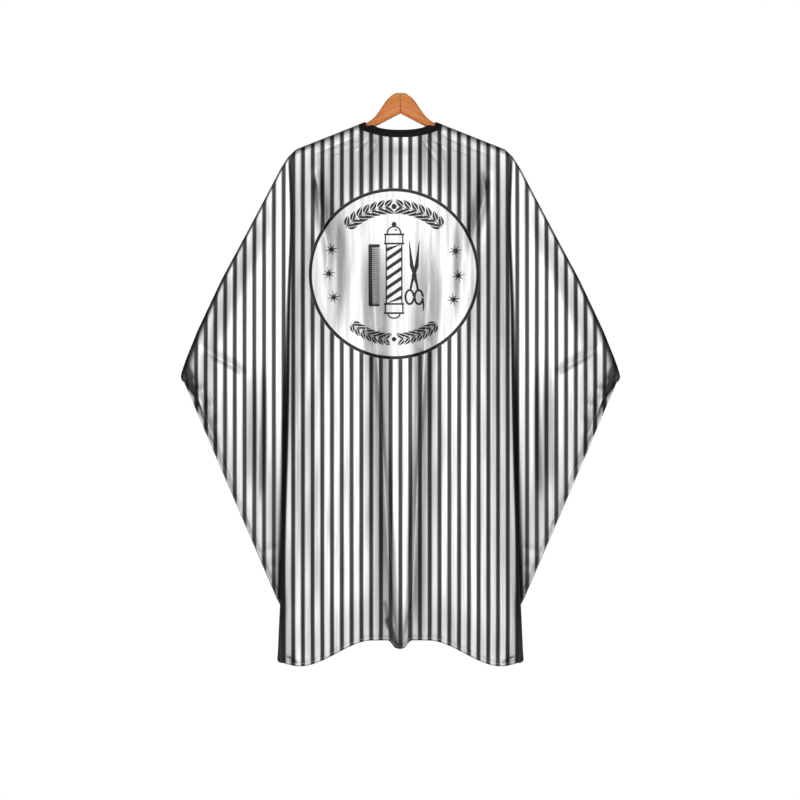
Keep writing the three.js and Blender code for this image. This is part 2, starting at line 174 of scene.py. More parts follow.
# %% [markdown]
# ## How the cape hangs
# The cloth passes over the hanger's arms, which fall away from the neck at one even slope. In front it
# bows forward over the neckband and hangs in two deep folds that draw together towards the hem. At each
# side it turns back behind itself, and a wing of cloth spreads outward from behind that turned edge.

# %% Shape of the shoulders and the hem
NECK_X, NECK_Z = 76 * MM, -62.7 * MM
SHOULDER_X, SHOULDER_Z = 225 * MM, -121.9 * MM
SEAM_SLOPE = (SHOULDER_Z - NECK_Z) / (SHOULDER_X - NECK_X)
PANEL_TOP_X, PANEL_HEM_X = 243.5 * MM, 271 * MM
HEM_MIDDLE_Z, HEM_LOW_X = -1203 * MM, 226 * MM


def seam_z(x):
    """Height of the shoulder seam, which lies over the hanger's arms."""
    return NECK_Z + SEAM_SLOPE * (np.abs(x) - NECK_X)


def hem_z(x):
    """Height of the hem: high in the middle, with a small point at its centre."""
    drop = 57 * MM * ease(np.abs(x), 65 * MM, HEM_LOW_X)
    corner = 6 * MM * np.clip((np.abs(x) - HEM_LOW_X) / (38 * MM), 0, 1) ** 2
    point = 18 * MM * bell(x + 1.5 * MM, 19 * MM, 4)
    return HEM_MIDDLE_Z - drop + corner - point


def panel_half_width(z):
    """Half the width of the front panel, which widens towards the hem."""
    down = np.clip((-146 * MM - z) / (1100 * MM), 0, 1.02)
    narrow = 5 * MM * bell(z + 287 * MM, 120 * MM)
    return PANEL_TOP_X - narrow + (PANEL_HEM_X - PANEL_TOP_X) * down**2.2


# %% Folds of the front
# Each path is a row of (height, across) points in millimetres, for the left (-1) or the right side.
VALLEYS = {
    -1: [(-330, 62), (-422, 60), (-631, 47), (-851, 34), (-1115, 20), (-1210, 13)],
    1: [(-330, 64), (-422, 61), (-631, 50), (-851, 37), (-1115, 25), (-1210, 11)],
}
VALLEY_DEPTH, VALLEY_FLOOR = 27 * MM, 2.5 * MM
ARMPIT_FOLDS = {
    -1: [(-150, 182), (-220, 178), (-290, 170), (-360, 160)],
    1: [(-150, 186), (-240, 180), (-320, 158), (-380, 146)],
}
NECK_CREASES = [
    (-1, [(-100, 42), (-158, 79)]), (-1, [(-92, 62), (-128, 92)]),
    (1, [(-100, 45), (-160, 82)]), (1, [(-92, 66), (-126, 96)]),
]
HANGING_LINES = (-158, -139, 131)
ANY_PHASE = 6.3


def crease(x, z, path, depth, inner, outer, fade):
    """A fold along a path of (z, x) points, in millimetres. Each side has its own width, and it fades."""
    away = x - ramp(z / MM, path) * MM
    start, full, hold, end = (place * MM for place in fade)
    strength = ease(-z, -start, -full) * (1 - ease(-z, -hold, -end))
    return depth * MM * strength * bell(away, np.where(away > 0, outer, inner) * MM)


def soft_waves(x, z, height, across, down, count, seed):
    """Gentle uneven waves of the given height, each at least this long across and down."""
    draw = np.random.default_rng(seed)
    total = np.zeros_like(x)
    for _ in range(count):
        wave_x, wave_z = across * draw.uniform(1, 2.2), down * draw.uniform(1, 2.2)
        turns = x / wave_x + z / wave_z * draw.choice([-1, 1])
        total += np.sin(2 * np.pi * turns + draw.uniform(0, ANY_PHASE))
    return height * total / math.sqrt(count)


def valley_folds(x, z):
    """The two deep folds that draw together towards the hem, steep on their inner sides."""
    back = np.zeros_like(x)
    tight = ease(-z, 0.4, 0.8)
    inner = (19 - 12 * tight) * MM
    outer = (24 + 22 * tight) * MM
    for side, path in VALLEYS.items():
        away = side * x - ramp(z / MM, path) * MM
        steep = bell(away, inner)
        gentle = np.exp(-(np.hypot(away, VALLEY_FLOOR) - VALLEY_FLOOR) / outer * 1.35)
        shape = np.where(away > 0, steep * (1 - tight) + gentle * tight, steep)
        back += VALLEY_DEPTH * ease(-z, 0.28, 0.6) * shape
    return back


# %% Depth of the front
HEM_TURN = 7.5 * MM
GATHERS = (7.3, 11.1, 16.7)  # mm
SIDE_DEPTH, SEAM_DEPTH, CROWN = 9 * MM, 7.6 * MM, 28 * MM
NECK_DEPTH = 23.5 * MM
ARM_CLEARANCE, SOFT_STOP = 9.5 * MM, 1.5 * MM


def front_folds(x, z):
    """How far the folds carry the front panel's cloth back."""
    back = valley_folds(x, z)
    for side, path in ARMPIT_FOLDS.items():
        back += crease(side * x, z, path, 8, 9, 12, (-158, -205, -240, -380))
        back += crease(side * x, z, path, 4.5, 16, 26, (-200, -280, -300, -430))
    for side, path in NECK_CREASES:
        back += crease(side * x, z, path, 1.6, 2.4, 3, (-94, -110, -125, -165))
    below_seam = seam_z(x) - z
    imprint = bell(below_seam - 27 * MM, 2.4 * MM) + 0.8 * bell(below_seam - 11 * MM, 2 * MM)
    back += 0.6 * MM * imprint * ease(np.abs(x), 0.092, 0.11) * (1 - ease(np.abs(x), 0.16, 0.21))
    for line in HANGING_LINES:
        back += crease(x, z, [(-400, line)], 4.5, 9, 12, (-270, -340, -400, -520))
    back += soft_waves(x, z, 0.7 * MM, 60 * MM, 700 * MM, 6, 11) * ease(-z, 0.3, 0.6)
    back += soft_waves(x, z, 0.35 * MM, 38 * MM, 160 * MM, 6, 12) * ease(-z, 0.2, 0.4)
    back += 16 * MM * ease(hem_z(x) + 125 * MM - z, 0, 0.13) ** 1.5
    return back


def hem_pucker(along, from_edge, seed):
    """Little gathers in a sewn hem, and the step where its turned edge ends."""
    inside = 1 - ease(from_edge, HEM_TURN * 0.9, HEM_TURN * 1.15)
    draw = np.random.default_rng(seed)
    gather = sum(np.sin(2 * np.pi * along / (wave * MM) + draw.uniform(0, ANY_PHASE)) for wave in GATHERS)
    return -0.7 * MM * inside + 0.45 * MM * gather * bell(from_edge - HEM_TURN, 11 * MM)


def panel_y(x, z):
    """Depth of the front panel, forward being negative. Its hem stays clear of the arms as it lifts."""
    share = np.clip(np.abs(x) / panel_half_width(z), 0, 1)
    below_seam = np.clip(seam_z(x) - z, 0, None)
    bow = CROWN * (1 - share**2.4) * (0.25 + 0.75 * ease(below_seam, 0, 0.16))
    neck = NECK_DEPTH * bell(x, 62 * MM, 4) * (1 - ease(below_seam, 0.1, 0.34))
    merged = (bow**6 + neck**6) ** (1 / 6)
    depth = SEAM_DEPTH + (SIDE_DEPTH - SEAM_DEPTH) * ease(-z, 0.12, 0.3) + merged
    y = -depth + front_folds(x, z) + hem_pucker(x, z - hem_z(x), 3)
    clear = -ARM_CLEARANCE - SOFT_STOP * np.logaddexp(0, (-y - ARM_CLEARANCE) / SOFT_STOP)
    swept = ease(-z, 0.98, 1.08) * (1 - ease(np.abs(x), 0.228, 0.245))
    return y + (clear - y) * swept


# %% [markdown]
# ### Painted shade in the folds
# Shade is painted into the satin's colour. Each point carries that painted shade as an attribute, strongest
# along turned edges, in the gaps beside them and in tight creases.

# %% Painted shade of the front
# Patches of painted shade are (across, up, width, height, darkness) and painted crease shades are (line, width,
# darkness), in mm.
SHADE_PATCHES = [
    (-188, -208, 6, 26, 0.85), (-180, -238, 9, 40, 0.4), (-160, -262, 9, 36, 0.3), (-138, -300, 14, 50, 0.3),
    (-126, -400, 14, 75, 0.16), (187, -196, 6, 26, 0.8), (176, -232, 10, 34, 0.45), (156, -262, 10, 34, 0.35),
    (134, -345, 9, 75, 0.14), (-69, -385, 9, 60, 0.25), (66, -385, 10, 62, 0.3),
]
# Painted shade along fine creases that spread from the neckband and run under the hanger's arms.
FINE_CREASE_SHADES = [
    [(-44, -100), (-80, -153)], [(-52, -104), (-68, -128)], [(43, -101), (84, -162)],
    [(54, -104), (98, -150)], [(-80, -103), (-146, -123)], [(-53, -105), (-146, -139)],
    [(71, -89), (161, -120)], [(60, -105), (145, -139)],
]
# Painted shade along short creases by the hem's point and at its corners.
CREASE_SHADES = [
    ([(-28, -1160), (-8, -1215)], 6, 0.75), ([(-34, -1120), (-24, -1172)], 5, 0.4),
    ([(24, -1202), (44, -1209)], 2.6, 0.85), ([(22, -1150), (20, -1204)], 4, 0.5),
    ([(226, -1250), (249, -1238)], 2.2, 0.7), ([(-228, -1250), (-249, -1238)], 2.2, 0.7),
]
DARKEST = 0.96


def shade_line(x, z, path, width):
    """1 on a thin straight line between two (x, z) points in millimetres, falling to 0 beside it."""
    start, end = np.array(path) * MM
    along = end - start
    share = np.clip(((x - start[0]) * along[0] + (z - start[1]) * along[1]) / (along @ along), 0, 1)
    away = np.hypot(x - start[0] - share * along[0], z - start[1] - share * along[1])
    return bell(away, width * MM)


def front_painted_shade(x, z):
    """Painted shade of the front panel, from 0 for none to 1 for black."""
    # Painted shade: a band under the shoulder seam, patches at the armpits and beside the disc, fine neck
    # lines, the valleys, the turned edges and a spot at their top, the lower corners, creases near the hem, the
    # hem's edge, the lowest tenth of a metre and the upper part.
    painted_shade = 0.18 * ease(seam_z(x) - z, 18 * MM, 0) + 0.75 * ease(seam_z(x) - z, 4 * MM, 1.2 * MM)
    for across, up, width, height, depth in SHADE_PATCHES:
        shade_patch = bell(x - across * MM, width * MM) * bell(z - up * MM, height * MM)
        streaks = 1 + 0.35 * np.sin(x / (2.1 * MM) + z / (31 * MM)) * np.sin(z / (9 * MM) + x / (5 * MM))
        painted_shade += depth * shade_patch * streaks
    for path in FINE_CREASE_SHADES:
        painted_shade += 0.3 * shade_line(x, z, path, 1.3)
    valley = valley_folds(x, z) / VALLEY_DEPTH
    painted_shade += 0.42 * np.clip(valley, 0, 1) ** 1.3 * ease(-z, 0.42, 0.75)
    edge = panel_half_width(z) - np.abs(x)
    width = (2.6 + 3.4 * ease(-z, 0.35, 0.9) + 8 * ease(-z, 1.04, 1.15)) * MM
    painted_shade += 0.97 * bell(edge, width, 4) * ease(-z, 0.14, 0.16)
    painted_shade += 0.5 * bell(edge, 26 * MM) * ease(-z, 0.9, 1.15)
    painted_shade += 0.9 * bell(np.abs(x) - 243 * MM, 3.4 * MM) * bell(z + 152 * MM, 13 * MM)
    for path, thick, depth in CREASE_SHADES:
        painted_shade += depth * shade_line(x, z, path, thick)
    above_hem = z - hem_z(x)
    painted_shade += 0.6 * ease(above_hem, 2.4 * MM, 0.8 * MM) + 0.22 * bell(above_hem - 9 * MM, 4 * MM)
    painted_shade += 0.1 * ease(above_hem, 110 * MM, 30 * MM)
    painted_shade += 0.15 * ease(z, -0.6, -0.48)
    return np.clip(painted_shade, 0, DARKEST)


# %% [markdown]
# ## The neckband
# A strip of black rib knit is folded in half over the cloth's neck edge, with white elastic in its fold.
# Two edges guide it: the folded one at the neck, and the open one that takes the cloth. They roll over the
# hanger's arms, and behind they run down to the two ends that fasten with snaps.

# %% The neckband's two edges
FRONT_RAILS = [
    [(-76, -0.3, -64.42), (-91.8, -0.3, -70.7)], [(-76, -3.13, -64.52), (-91.8, -3.13, -70.8)],
    [(-76, -6.44, -66.42), (-91.8, -6.44, -72.7)], [(-74, -10.3, -72.42), (-89.3, -10.3, -79.7)],
    [(-62, -17, -72), (-75, -16, -86.5)], [(-46, -23.5, -78.4), (-54, -22.5, -93.4)],
    [(-23, -29.4, -82.5), (-27, -28.4, -98.8)], [(0, -31, -83.4), (0, -30, -100)],
]
BACK_RAILS = [
    [(-76, 0.3, -64.42), (-91.8, 0.3, -70.7)], [(-76, 3.13, -64.52), (-91.8, 3.13, -70.8)],
    [(-76, 6.44, -66.42), (-91.8, 6.44, -72.7)], [(-75, 9.5, -73.42), (-90.8, 9.5, -80.7)],
    [(-67, 10.7, -95), (-82.5, 10.7, -103)], [(-51.5, 11.7, -119), (-64, 11.7, -131)],
    [(-28.5, 12.2, -139), (-40, 12.2, -152)],
]


def mirrored(rails):
    """The same pairs of edge points on the other side."""
    return [[(-x, y, z) for x, y, z in pair] for pair in rails]


def smooth_rails(rails, count):
    """Two smooth edges through the pairs of points, as evenly spread rows of two points each."""
    p = np.array(rails).reshape(len(rails), 6) * MM
    t = travelled(p, 0.5)
    slope = np.gradient(p, t, axis=0)
    place = np.linspace(0, t[-1], 2000)
    i = np.clip(np.searchsorted(t, place, side="right") - 1, 0, len(t) - 2)
    width = (t[i + 1] - t[i])[:, None]
    f = (place - t[i])[:, None] / width
    line = (2 * f**3 - 3 * f**2 + 1) * p[i] + (f**3 - 2 * f**2 + f) * width * slope[i]
    line += (3 * f**2 - 2 * f**3) * p[i + 1] + (f**3 - f**2) * width * slope[i + 1]
    travel = travelled((line[:, :3] + line[:, 3:]) / 2)
    even = np.linspace(0, travel[-1], count)
    rows = np.stack([np.interp(even, travel, line[:, k]) for k in range(6)], 1)
    return rows.reshape(count, 2, 3), even


front_rails, front_travel = smooth_rails(FRONT_RAILS + mirrored(FRONT_RAILS[-2::-1]), 520)
left_rails, back_travel = smooth_rails(BACK_RAILS, 260)
right_rails = left_rails * [-1, 1, 1]
print("band length, front and each back half:", front_travel[-1].round(3), back_travel[-1].round(3), "m")

# %% The neckband's middle surface, which the cloth inside it follows
BELOW_BAND = 40 * MM
BAND_END_X = 91.5 * MM
down_band = unit(front_rails[:, 1] - front_rails[:, 0])
lofted = np.concatenate([front_rails[:, 0], front_rails[:, 1] + down_band * BELOW_BAND])
rows = len(front_rails)
quads = [(i, i + 1, rows + i + 1, rows + i) for i in range(rows - 1)]
band_surface = BVHTree.FromPolygons(lofted.tolist(), quads)
outer_edge = front_rails[: rows // 2 + 1, 1]


def band_edge_z(x):
    """Height of the neckband's open edge in front."""
    return np.interp(np.abs(x), -outer_edge[::-1, 0], outer_edge[::-1, 2])


def follow_band(x, y, z):
    """Moves points in or just below the band to its middle surface."""
    weight = 1 - ease(band_edge_z(x) - z, 0, BELOW_BAND)
    near = (np.abs(x) < BAND_END_X) & (weight > 0)
    for place in zip(*np.nonzero(near)):
        hit = band_surface.ray_cast((x[place], -1, z[place]), (0, 1, 0))[0]
        if hit is not None:
            y[place] += (hit.y - y[place]) * weight[place]
    return y


# %% [markdown]
# ## The front panel
# One sheet from the shoulder seams to the hem. Its two side edges turn back behind it, which shows from
# the front as a dark upright line beside each wing, deepened by painted shade. The turn is tight at the
# shoulder and loose at the hem.

# %% Front panel
ROWS, COLUMNS = 320, 170
TURN_STEPS, STRIP_STEPS = 8, 5
TURNED_WIDTH = 26 * MM
TUCK = 4.5 * MM
PANEL_CORNER_Z = -137 * MM
FRONT_ROLL, BACK_ROLL = 13 * MM, 12 * MM


def turn_radius(z):
    """Radius of the turned side edge."""
    return (1 + 2 * ease(-z, 0.135, 0.15) + 3.5 * ease(-z, 0.35, 0.8) + 5 * ease(-z, 0.95, 1.2)) * MM


def panel_top_z(x):
    """Top boundary of the front panel: neck edge, shoulder seam and rounded corner."""
    corner = np.clip((np.abs(x) - SHOULDER_X) / (PANEL_TOP_X - SHOULDER_X), 0, 1)
    rounded = (PANEL_CORNER_Z - SHOULDER_Z) * corner**1.5
    shoulder = np.where(np.abs(x) > SHOULDER_X, SHOULDER_Z + rounded, seam_z(x))
    neck = np.minimum(band_edge_z(x) + TUCK, seam_z(x) - 1 * MM)
    return np.where(np.abs(x) < BAND_END_X, neck, shoulder)


def front_panel_grid():
    """Points, flat coordinates and painted shade of the front panel with its turned sides."""
    down = np.linspace(0, 1, ROWS)[:, None] ** 1.15
    share = np.linspace(0, 1, COLUMNS // 2)
    halves = []
    for side in (-1, 1):
        x_top = side * share * (PANEL_TOP_X - turn_radius(0))
        top = panel_top_z(x_top)
        z = top + down * (hem_z(x_top * 1.1) - top)
        radius = turn_radius(z[:, -1])
        x = side * share * (panel_half_width(z) - radius[:, None])
        over_arm = roll_over(top - z, FRONT_ROLL)
        y = panel_y(x, z) * np.where(np.abs(x_top) > BAND_END_X, over_arm, 1)
        y = follow_band(x, y, z)
        edge_x, edge_y, edge_z = x[:, -1], y[:, -1], z[:, -1]
        near_hem = ease(edge_z - edge_z[-1], 30 * MM, 0)
        strip = []
        for angle in np.radians(np.linspace(0, 180, TURN_STEPS + 1))[1:]:
            strip_x = edge_x + side * radius * np.sin(angle)
            strip_z = edge_z + 7 * MM * near_hem * (1 - np.cos(min(angle, math.pi / 2)))
            strip.append(np.stack([strip_x, edge_y + radius * (1 - np.cos(angle)), strip_z], -1))
        width = TURNED_WIDTH * (0.45 + 0.55 * ease(-edge_z, 0.135, 0.17))
        behind = strip[-1][:, 1]
        for reach in np.linspace(0, 1, STRIP_STEPS + 1)[1:]:
            strip.append(np.stack([edge_x - side * width * reach, behind, strip_z], -1))
        strip = np.stack(strip, 1)
        travel = np.outer(math.pi * radius + width, np.linspace(0, 1, TURN_STEPS + STRIP_STEPS + 1)[1:])
        strip_flat = np.stack([edge_x[:, None] + side * travel, strip[..., 2]], -1)
        # The turned strip takes the painted shade of the panel's edge, fading across it.
        fading = np.concatenate([np.ones(TURN_STEPS), np.linspace(0.8, 0, STRIP_STEPS)])
        strip_painted_shade = front_painted_shade(side * panel_half_width(edge_z), edge_z)[:, None] * fading
        parts = [(np.stack([x, y, z], -1), strip), (np.stack([x, z], -1), strip_flat),
                 (front_painted_shade(x, z), strip_painted_shade)]
        halves.append([np.concatenate(pair, 1) for pair in parts])
    return [np.concatenate([left[:, ::-1], right[:, 1:]], 1) for left, right in zip(*halves)]


front_points, flat, painted_shade = front_panel_grid()
front_cloth = grid_object("front_cloth", front_points, flat, painted_shade)
print("front cloth:", len(front_cloth.data.polygons), "faces")

# %% [markdown]
# ## The wings
# Beyond the panel the cloth spreads sideways, folds over a slanting edge and comes back as a second,
# shorter layer behind. One grid runs from the hidden inner edge, round the fold, and back again.

# %% Wings
FOLD_LINE = [
    (233, -127), (245.5, -138), (264, -167), (298, -232), (340, -311), (393, -409), (446, -521),
    (470, -580), (479, -605), (482.6, -617), (483.4, -624), (482, -630), (478.5, -635),
]
WING_INNER_X, FLAP_EDGE_X = 229 * MM, 230 * MM
WING_FOOT = np.array([264, -1130]) * MM
BACK_HEM_Z = -556 * MM
WING_ROWS, FRONT_COLUMNS, ROLL_COLUMNS, BACK_COLUMNS = 190, 64, 9, 44


def fold_point(t):
    """Points along the wing's slanting fold, by share of its length."""
    line = np.array(FOLD_LINE) * MM
    travel = travelled(line)
    return [np.interp(t, travel / travel[-1], line[:, k]) for k in (0, 1)]


# %% Depth of the wings
LOW_CREASES = ((-1000, 3), (-1038, 2.5), (-1085, 3))  # height and depth in mm


def wing_front_y(x, z):
    """Depth of a wing's front layer, with its own soft folds."""
    back = crease(x, z, [(-600, 309), (-700, 309), (-851, 312)], 9, 10, 22, (-560, -700, -800, -920))
    slant = (x - 342 * MM) * 0.55 - 613 * MM
    back += 6 * MM * bell(z - slant, 8 * MM) * ease(x, 0.33, 0.37) * (1 - ease(x, 0.42, 0.46))
    for height, depth in LOW_CREASES:
        lie = z - height * MM + (x - 0.27) * 0.25
        back += depth * MM * bell(lie, 5 * MM) * (1 - ease(x, 0.27, 0.33))
    back += soft_waves(x, z, 0.6 * MM, 70 * MM, 420 * MM, 6, 21) * ease(x, 0.25, 0.3)
    rise = -9 * MM * np.sin(np.pi * np.clip((x - WING_INNER_X) / (250 * MM), 0, 1))
    return rise * ease(-z, 0.15, 0.35) + back


def tip_curl(from_hem, from_tip):
    """The curled hollow just inside the hem near a wing's tip."""
    uneven = 1 + 0.25 * np.sin(from_tip / (7 * MM)) + 0.2 * np.sin(from_tip / (3.1 * MM) + 1)
    width = (3 + 10 * (1 - ease(from_tip, 0.02, 0.2))) * MM * uneven
    depth = 15 * MM * (1 - ease(from_tip, 0.03, 0.24))
    return depth * bell(from_hem - 8 * MM - width * 0.8, width)


def back_layer_y(x, z):
    """Depth of the cloth that hangs behind, on the flaps and the wings alike."""
    middle = 134 * MM
    bow = 2.5 * MM * (1 - ((np.abs(x) - middle) / middle) ** 2) * ease(-z, 0.12, 0.2)
    return 9.2 * MM + 10.8 * MM * ease(-z, 0.12, 0.54) + np.where(np.abs(x) < 2 * middle, bow, 0)


# %% Painted shade of the wings
def wing_painted_shade(x, z, t, edge_x, from_hem, from_tip):
    """Painted shade of a wing's front layer, and that of its fold alone."""
    # Painted shade: the gap beside the panel, the curl and corner at the tip, the hem's edge, the rolled fold,
    # a crease, a slanting line and the lower part.
    past_panel = x - panel_half_width(z)
    gap = bell(past_panel - 1 * MM, (3 + 3 * ease(-z, 0.35, 0.9)) * MM, 4) * ease(-z, 0.14, 0.16)
    curl_width = (3.2 + 6.5 * (1 - ease(from_tip, 0.01, 0.05))) * MM
    curl = bell(from_hem - 12.5 * MM, curl_width, 4) * (1 - ease(from_tip, 0.05, 0.12))
    tip_x, tip_z = fold_point(1)
    corner = bell(np.hypot(x - tip_x + 8 * MM, z - tip_z - 9 * MM), 20 * MM, 4)
    curl = np.maximum(curl, corner) * ease(from_hem, 2.2 * MM, 4.5 * MM)
    hem = (0.55 + 0.35 * (1 - ease(from_tip, 0.1, 0.2))) * ease(from_hem, 2.2 * MM, 0.8 * MM)
    hem += 0.2 * bell(from_hem - 9 * MM, 3.5 * MM)
    rim_width = (1.4 + 3.4 * ease(t, 0.5, 1) + 6 * ease(t, 0.86, 0.97)) * MM
    rim = (0.88 + 0.08 * ease(t, 0.3, 0.75)) * bell(edge_x - x, rim_width)
    fold = 0.3 * bell(x - 309 * MM, 8 * MM) * ease(-z, 0.6, 0.75) * (1 - ease(-z, 0.85, 0.95))
    shade = 0.22 * shade_line(x, z, [(342, -613), (430, -565)], 3) + 0.34 * ease(-z, 0.55, 0.95)
    return np.clip(0.93 * gap + 0.9 * curl + hem + rim + fold + shade, 0, DARKEST), rim[:, -1:]


# %% The wings' grids
def wing_grid(side):
    """Points, flat coordinates and painted shade of one wing: front layer, fold and back layer."""
    t = 1 - (1 - np.linspace(0, 1, WING_ROWS)[:, None]) ** 1.35
    fold_x, fold_z = fold_point(t)
    tip = np.array([fold_x[-1, 0], fold_z[-1, 0]])
    radius = (2.4 + 7 * t**1.6 * (1 - 0.95 * ease(t, 0.955, 1))) * MM
    along_hem = (WING_FOOT - tip) / np.hypot(*(WING_FOOT - tip))
    inner_foot = WING_FOOT[1] + along_hem[1] / along_hem[0] * (WING_INNER_X - WING_FOOT[0])
    inner_z = seam_z(WING_INNER_X) + (inner_foot - seam_z(WING_INNER_X)) * t
    share = np.linspace(0, 1, FRONT_COLUMNS)
    edge_x = fold_x - radius
    x = WING_INNER_X + (edge_x - WING_INNER_X) * share
    z = inner_z + (fold_z - inner_z) * share
    from_tip = (x - tip[0]) * along_hem[0] + (z - tip[1]) * along_hem[1]
    from_hem = np.abs((x - tip[0]) * along_hem[1] - (z - tip[1]) * along_hem[0])
    behind = (9 * ease(-z, 0.118, 0.15) + 11 * ease(-z, 0.3, 0.8)) * MM
    behind *= 1 - ease(x - panel_half_width(z), -3 * MM, (5 + 5 * ease(-z, 0.4, 0.8)) * MM)
    below_back = BACK_HEM_Z + (tip[1] - BACK_HEM_Z) * (x - FLAP_EDGE_X) / (tip[0] - FLAP_EDGE_X) - z
    hem_shape = tip_curl(from_hem, from_tip) * ease(below_back, 1 * MM, 16 * MM)
    hem_shape += hem_pucker(from_tip, from_hem, 5)
    y = wing_front_y(x, z) * ease(edge_x - x, 0, 0.03) + behind - 2 * MM
    y += hem_shape * ease(edge_x - x, 0, 8 * MM)
    front_layer, rim = wing_painted_shade(x, z, t, edge_x, from_hem, from_tip)
    angle = np.radians(np.linspace(-90, 90, ROLL_COLUMNS + 2))[1:-1]
    roll_y = y[:, -1:] + radius * (1 + np.sin(angle))
    roll = [edge_x + radius * np.cos(angle), roll_y, np.broadcast_to(fold_z, roll_y.shape)]

    share = np.linspace(1, 0, BACK_COLUMNS)
    back_x = FLAP_EDGE_X + (edge_x - FLAP_EDGE_X) * share
    back_z = seam_z(FLAP_EDGE_X) + (BACK_HEM_Z - seam_z(FLAP_EDGE_X)) * t
    back_z = back_z + (fold_z - back_z) * share
    fold_y = y[:, -1:] + 2 * radius
    layer_y = back_layer_y(back_x, back_z) * roll_over(seam_z(FLAP_EDGE_X) - back_z, BACK_ROLL)
    back_y = fold_y + (layer_y - fold_y) * (1 - share) ** 0.8
    parts = [np.stack(part, -1) for part in ([x, y, z], roll, [back_x, back_y, back_z])]
    points = np.concatenate(parts, 1) * [side, 1, 1]
    painted_shade = [front_layer, np.repeat(rim, ROLL_COLUMNS, 1), rim * (1 - ease(1 - share, 0, 0.05))]
    return points[:, ::side], points[:, ::side][..., [0, 2]], np.concatenate(painted_shade, 1)[:, ::side]


SIDES = ((-1, "left"), (1, "right"))
wings, wing_points = {}, {}
for side, word in SIDES:
    wing_points[word], flat, painted_shade = wing_grid(side)
    wings[word] = grid_object(f"wing_cloth_{word}", wing_points[word], flat, painted_shade)
print("each wing:", len(wings["left"].data.polygons), "faces")

# %% [markdown]
# ## The back flaps
# Behind, the cloth is slit from the neck to its hem. Each flap hangs from its shoulder seam, with the end
# of the neckband along its upper inner edge.

# %% Back flaps
FLAP_TOP_X = 34 * MM
SLIT_FOOT = (22 * MM, -520 * MM)
BAND_SIDE_X = 90 * MM
FLAP_ROWS, FLAP_COLUMNS = 130, 60
BEYOND_DISC = 1.0  # the back has stripes only, so its flat coordinates start beyond the disc


def flap_top(x):
    """Top boundary of a flap: the shoulder seam, then the edge inside the neckband."""
    band = np.interp(x, [FLAP_TOP_X, 62 * MM, 80 * MM, BAND_SIDE_X],
                     [-147 * MM, -124 * MM, -96 * MM, seam_z(BAND_SIDE_X)])
    return np.where(x > BAND_SIDE_X, seam_z(x), band)


def flap_grid(side):
    """Points and flat coordinates of one back flap."""
    across = np.linspace(0, 1, FLAP_COLUMNS)
    down = np.linspace(0, 1, FLAP_ROWS)[:, None]
    top_x = FLAP_TOP_X + (FLAP_EDGE_X - FLAP_TOP_X) * across
    foot_x = SLIT_FOOT[0] + (FLAP_EDGE_X - SLIT_FOOT[0]) * across
    top = flap_top(top_x)
    hem = SLIT_FOOT[1] + (BACK_HEM_Z - SLIT_FOOT[1]) * across
    z = top + (hem - top) * down
    x = top_x + (foot_x - top_x) * ease(down, 0, 0.9)
    y = back_layer_y(x, z) * np.where(top_x > BAND_SIDE_X, roll_over(top - z, BACK_ROLL), 1)
    points = np.stack([side * x, y, z], -1)[:, ::-side]
    return points, points[..., [0, 2]] + [0, BEYOND_DISC]


flaps, flap_points = {}, {}
for side, word in SIDES:
    flap_points[word], flat = flap_grid(side)
    # Painted shade along the shoulder seam of each flap.
    painted_shade = 0.5 * ease(seam_z(flat[..., 0]) - flap_points[word][..., 2], 2.2 * MM, 0.6 * MM)
    flaps[word] = grid_object(f"flap_cloth_{word}", flap_points[word], flat, painted_shade)

# %% [markdown]
# ## Knit band and elastic
# The band's wall goes round a flat loop: outside, over the fold, and back inside. Rib knit stands up in
# small ridges across the band, which also make its open edge look slightly toothed.

# %% Band pieces
RIB_PITCH = 3 * MM
RIB_HEIGHT = 0.2 * MM
TOOTH = 0.022  # how far a rib sticks out at the open edge, as a share of the band's width
BAND_WIDTH, HALF_BAND, WALL = 17, 1.6, 0.6  # mm
HALF_SECTION = [
    (BAND_WIDTH, 1.05), (16.7, 1.4), (15.5, 1.58), (12.5, HALF_BAND), (9, HALF_BAND), (5.5, HALF_BAND),
    (3, 1.55), (1.4, 1.3), (0.4, 0.8),
]


def band_outward(rails):
    """The direction out of the band's face at each pair of edge points."""
    return unit(np.cross(rails[:, 1] - rails[:, 0], np.gradient(rails.mean(1), axis=0)))


def band_object(name, rails, travel):
    """A folded knit band along two rails."""
    outer = HALF_SECTION + [(0, 0)] + [(u, -v) for u, v in HALF_SECTION[::-1]]
    inner = [(max(u, 0.7), v * (HALF_BAND - WALL) / HALF_BAND) for u, v in outer[::-1]]
    section = np.array(outer + inner + outer[:1])
    on_outside = np.array([1] * len(outer) + [0] * len(inner) + [1])
    down = rails[:, 1] - rails[:, 0]
    out = band_outward(rails)
    rib = np.cos(2 * np.pi * travel / RIB_PITCH)[:, None]
    u = section[:, 0] / BAND_WIDTH + rib * TOOTH * (section[:, 0] > BAND_WIDTH - 1)
    v = section[:, 1] * MM + np.sign(section[:, 1]) * rib * RIB_HEIGHT * on_outside
    points = rails[:, None, 0] + down[:, None] * u[..., None] + out[:, None] * v[..., None]
    flat = np.stack(np.broadcast_arrays(travel[:, None], travelled(section) * MM), -1)
    band = grid_object(name, points, flat)
    edit_merged(band, 1e-6)
    bpy.ops.mesh.select_all(action="DESELECT")
    bpy.ops.mesh.select_non_manifold()
    bpy.ops.mesh.edge_face_add()
    bpy.ops.mesh.select_all(action="SELECT")
    bpy.ops.mesh.normals_make_consistent(inside=False)
    bpy.ops.object.mode_set(mode="OBJECT")
    return band


# %% Elastic tape
TAPE_THICKNESS = 0.6 * MM
TAPE_EDGES = (1.2, 11.2)  # mm from the band's fold


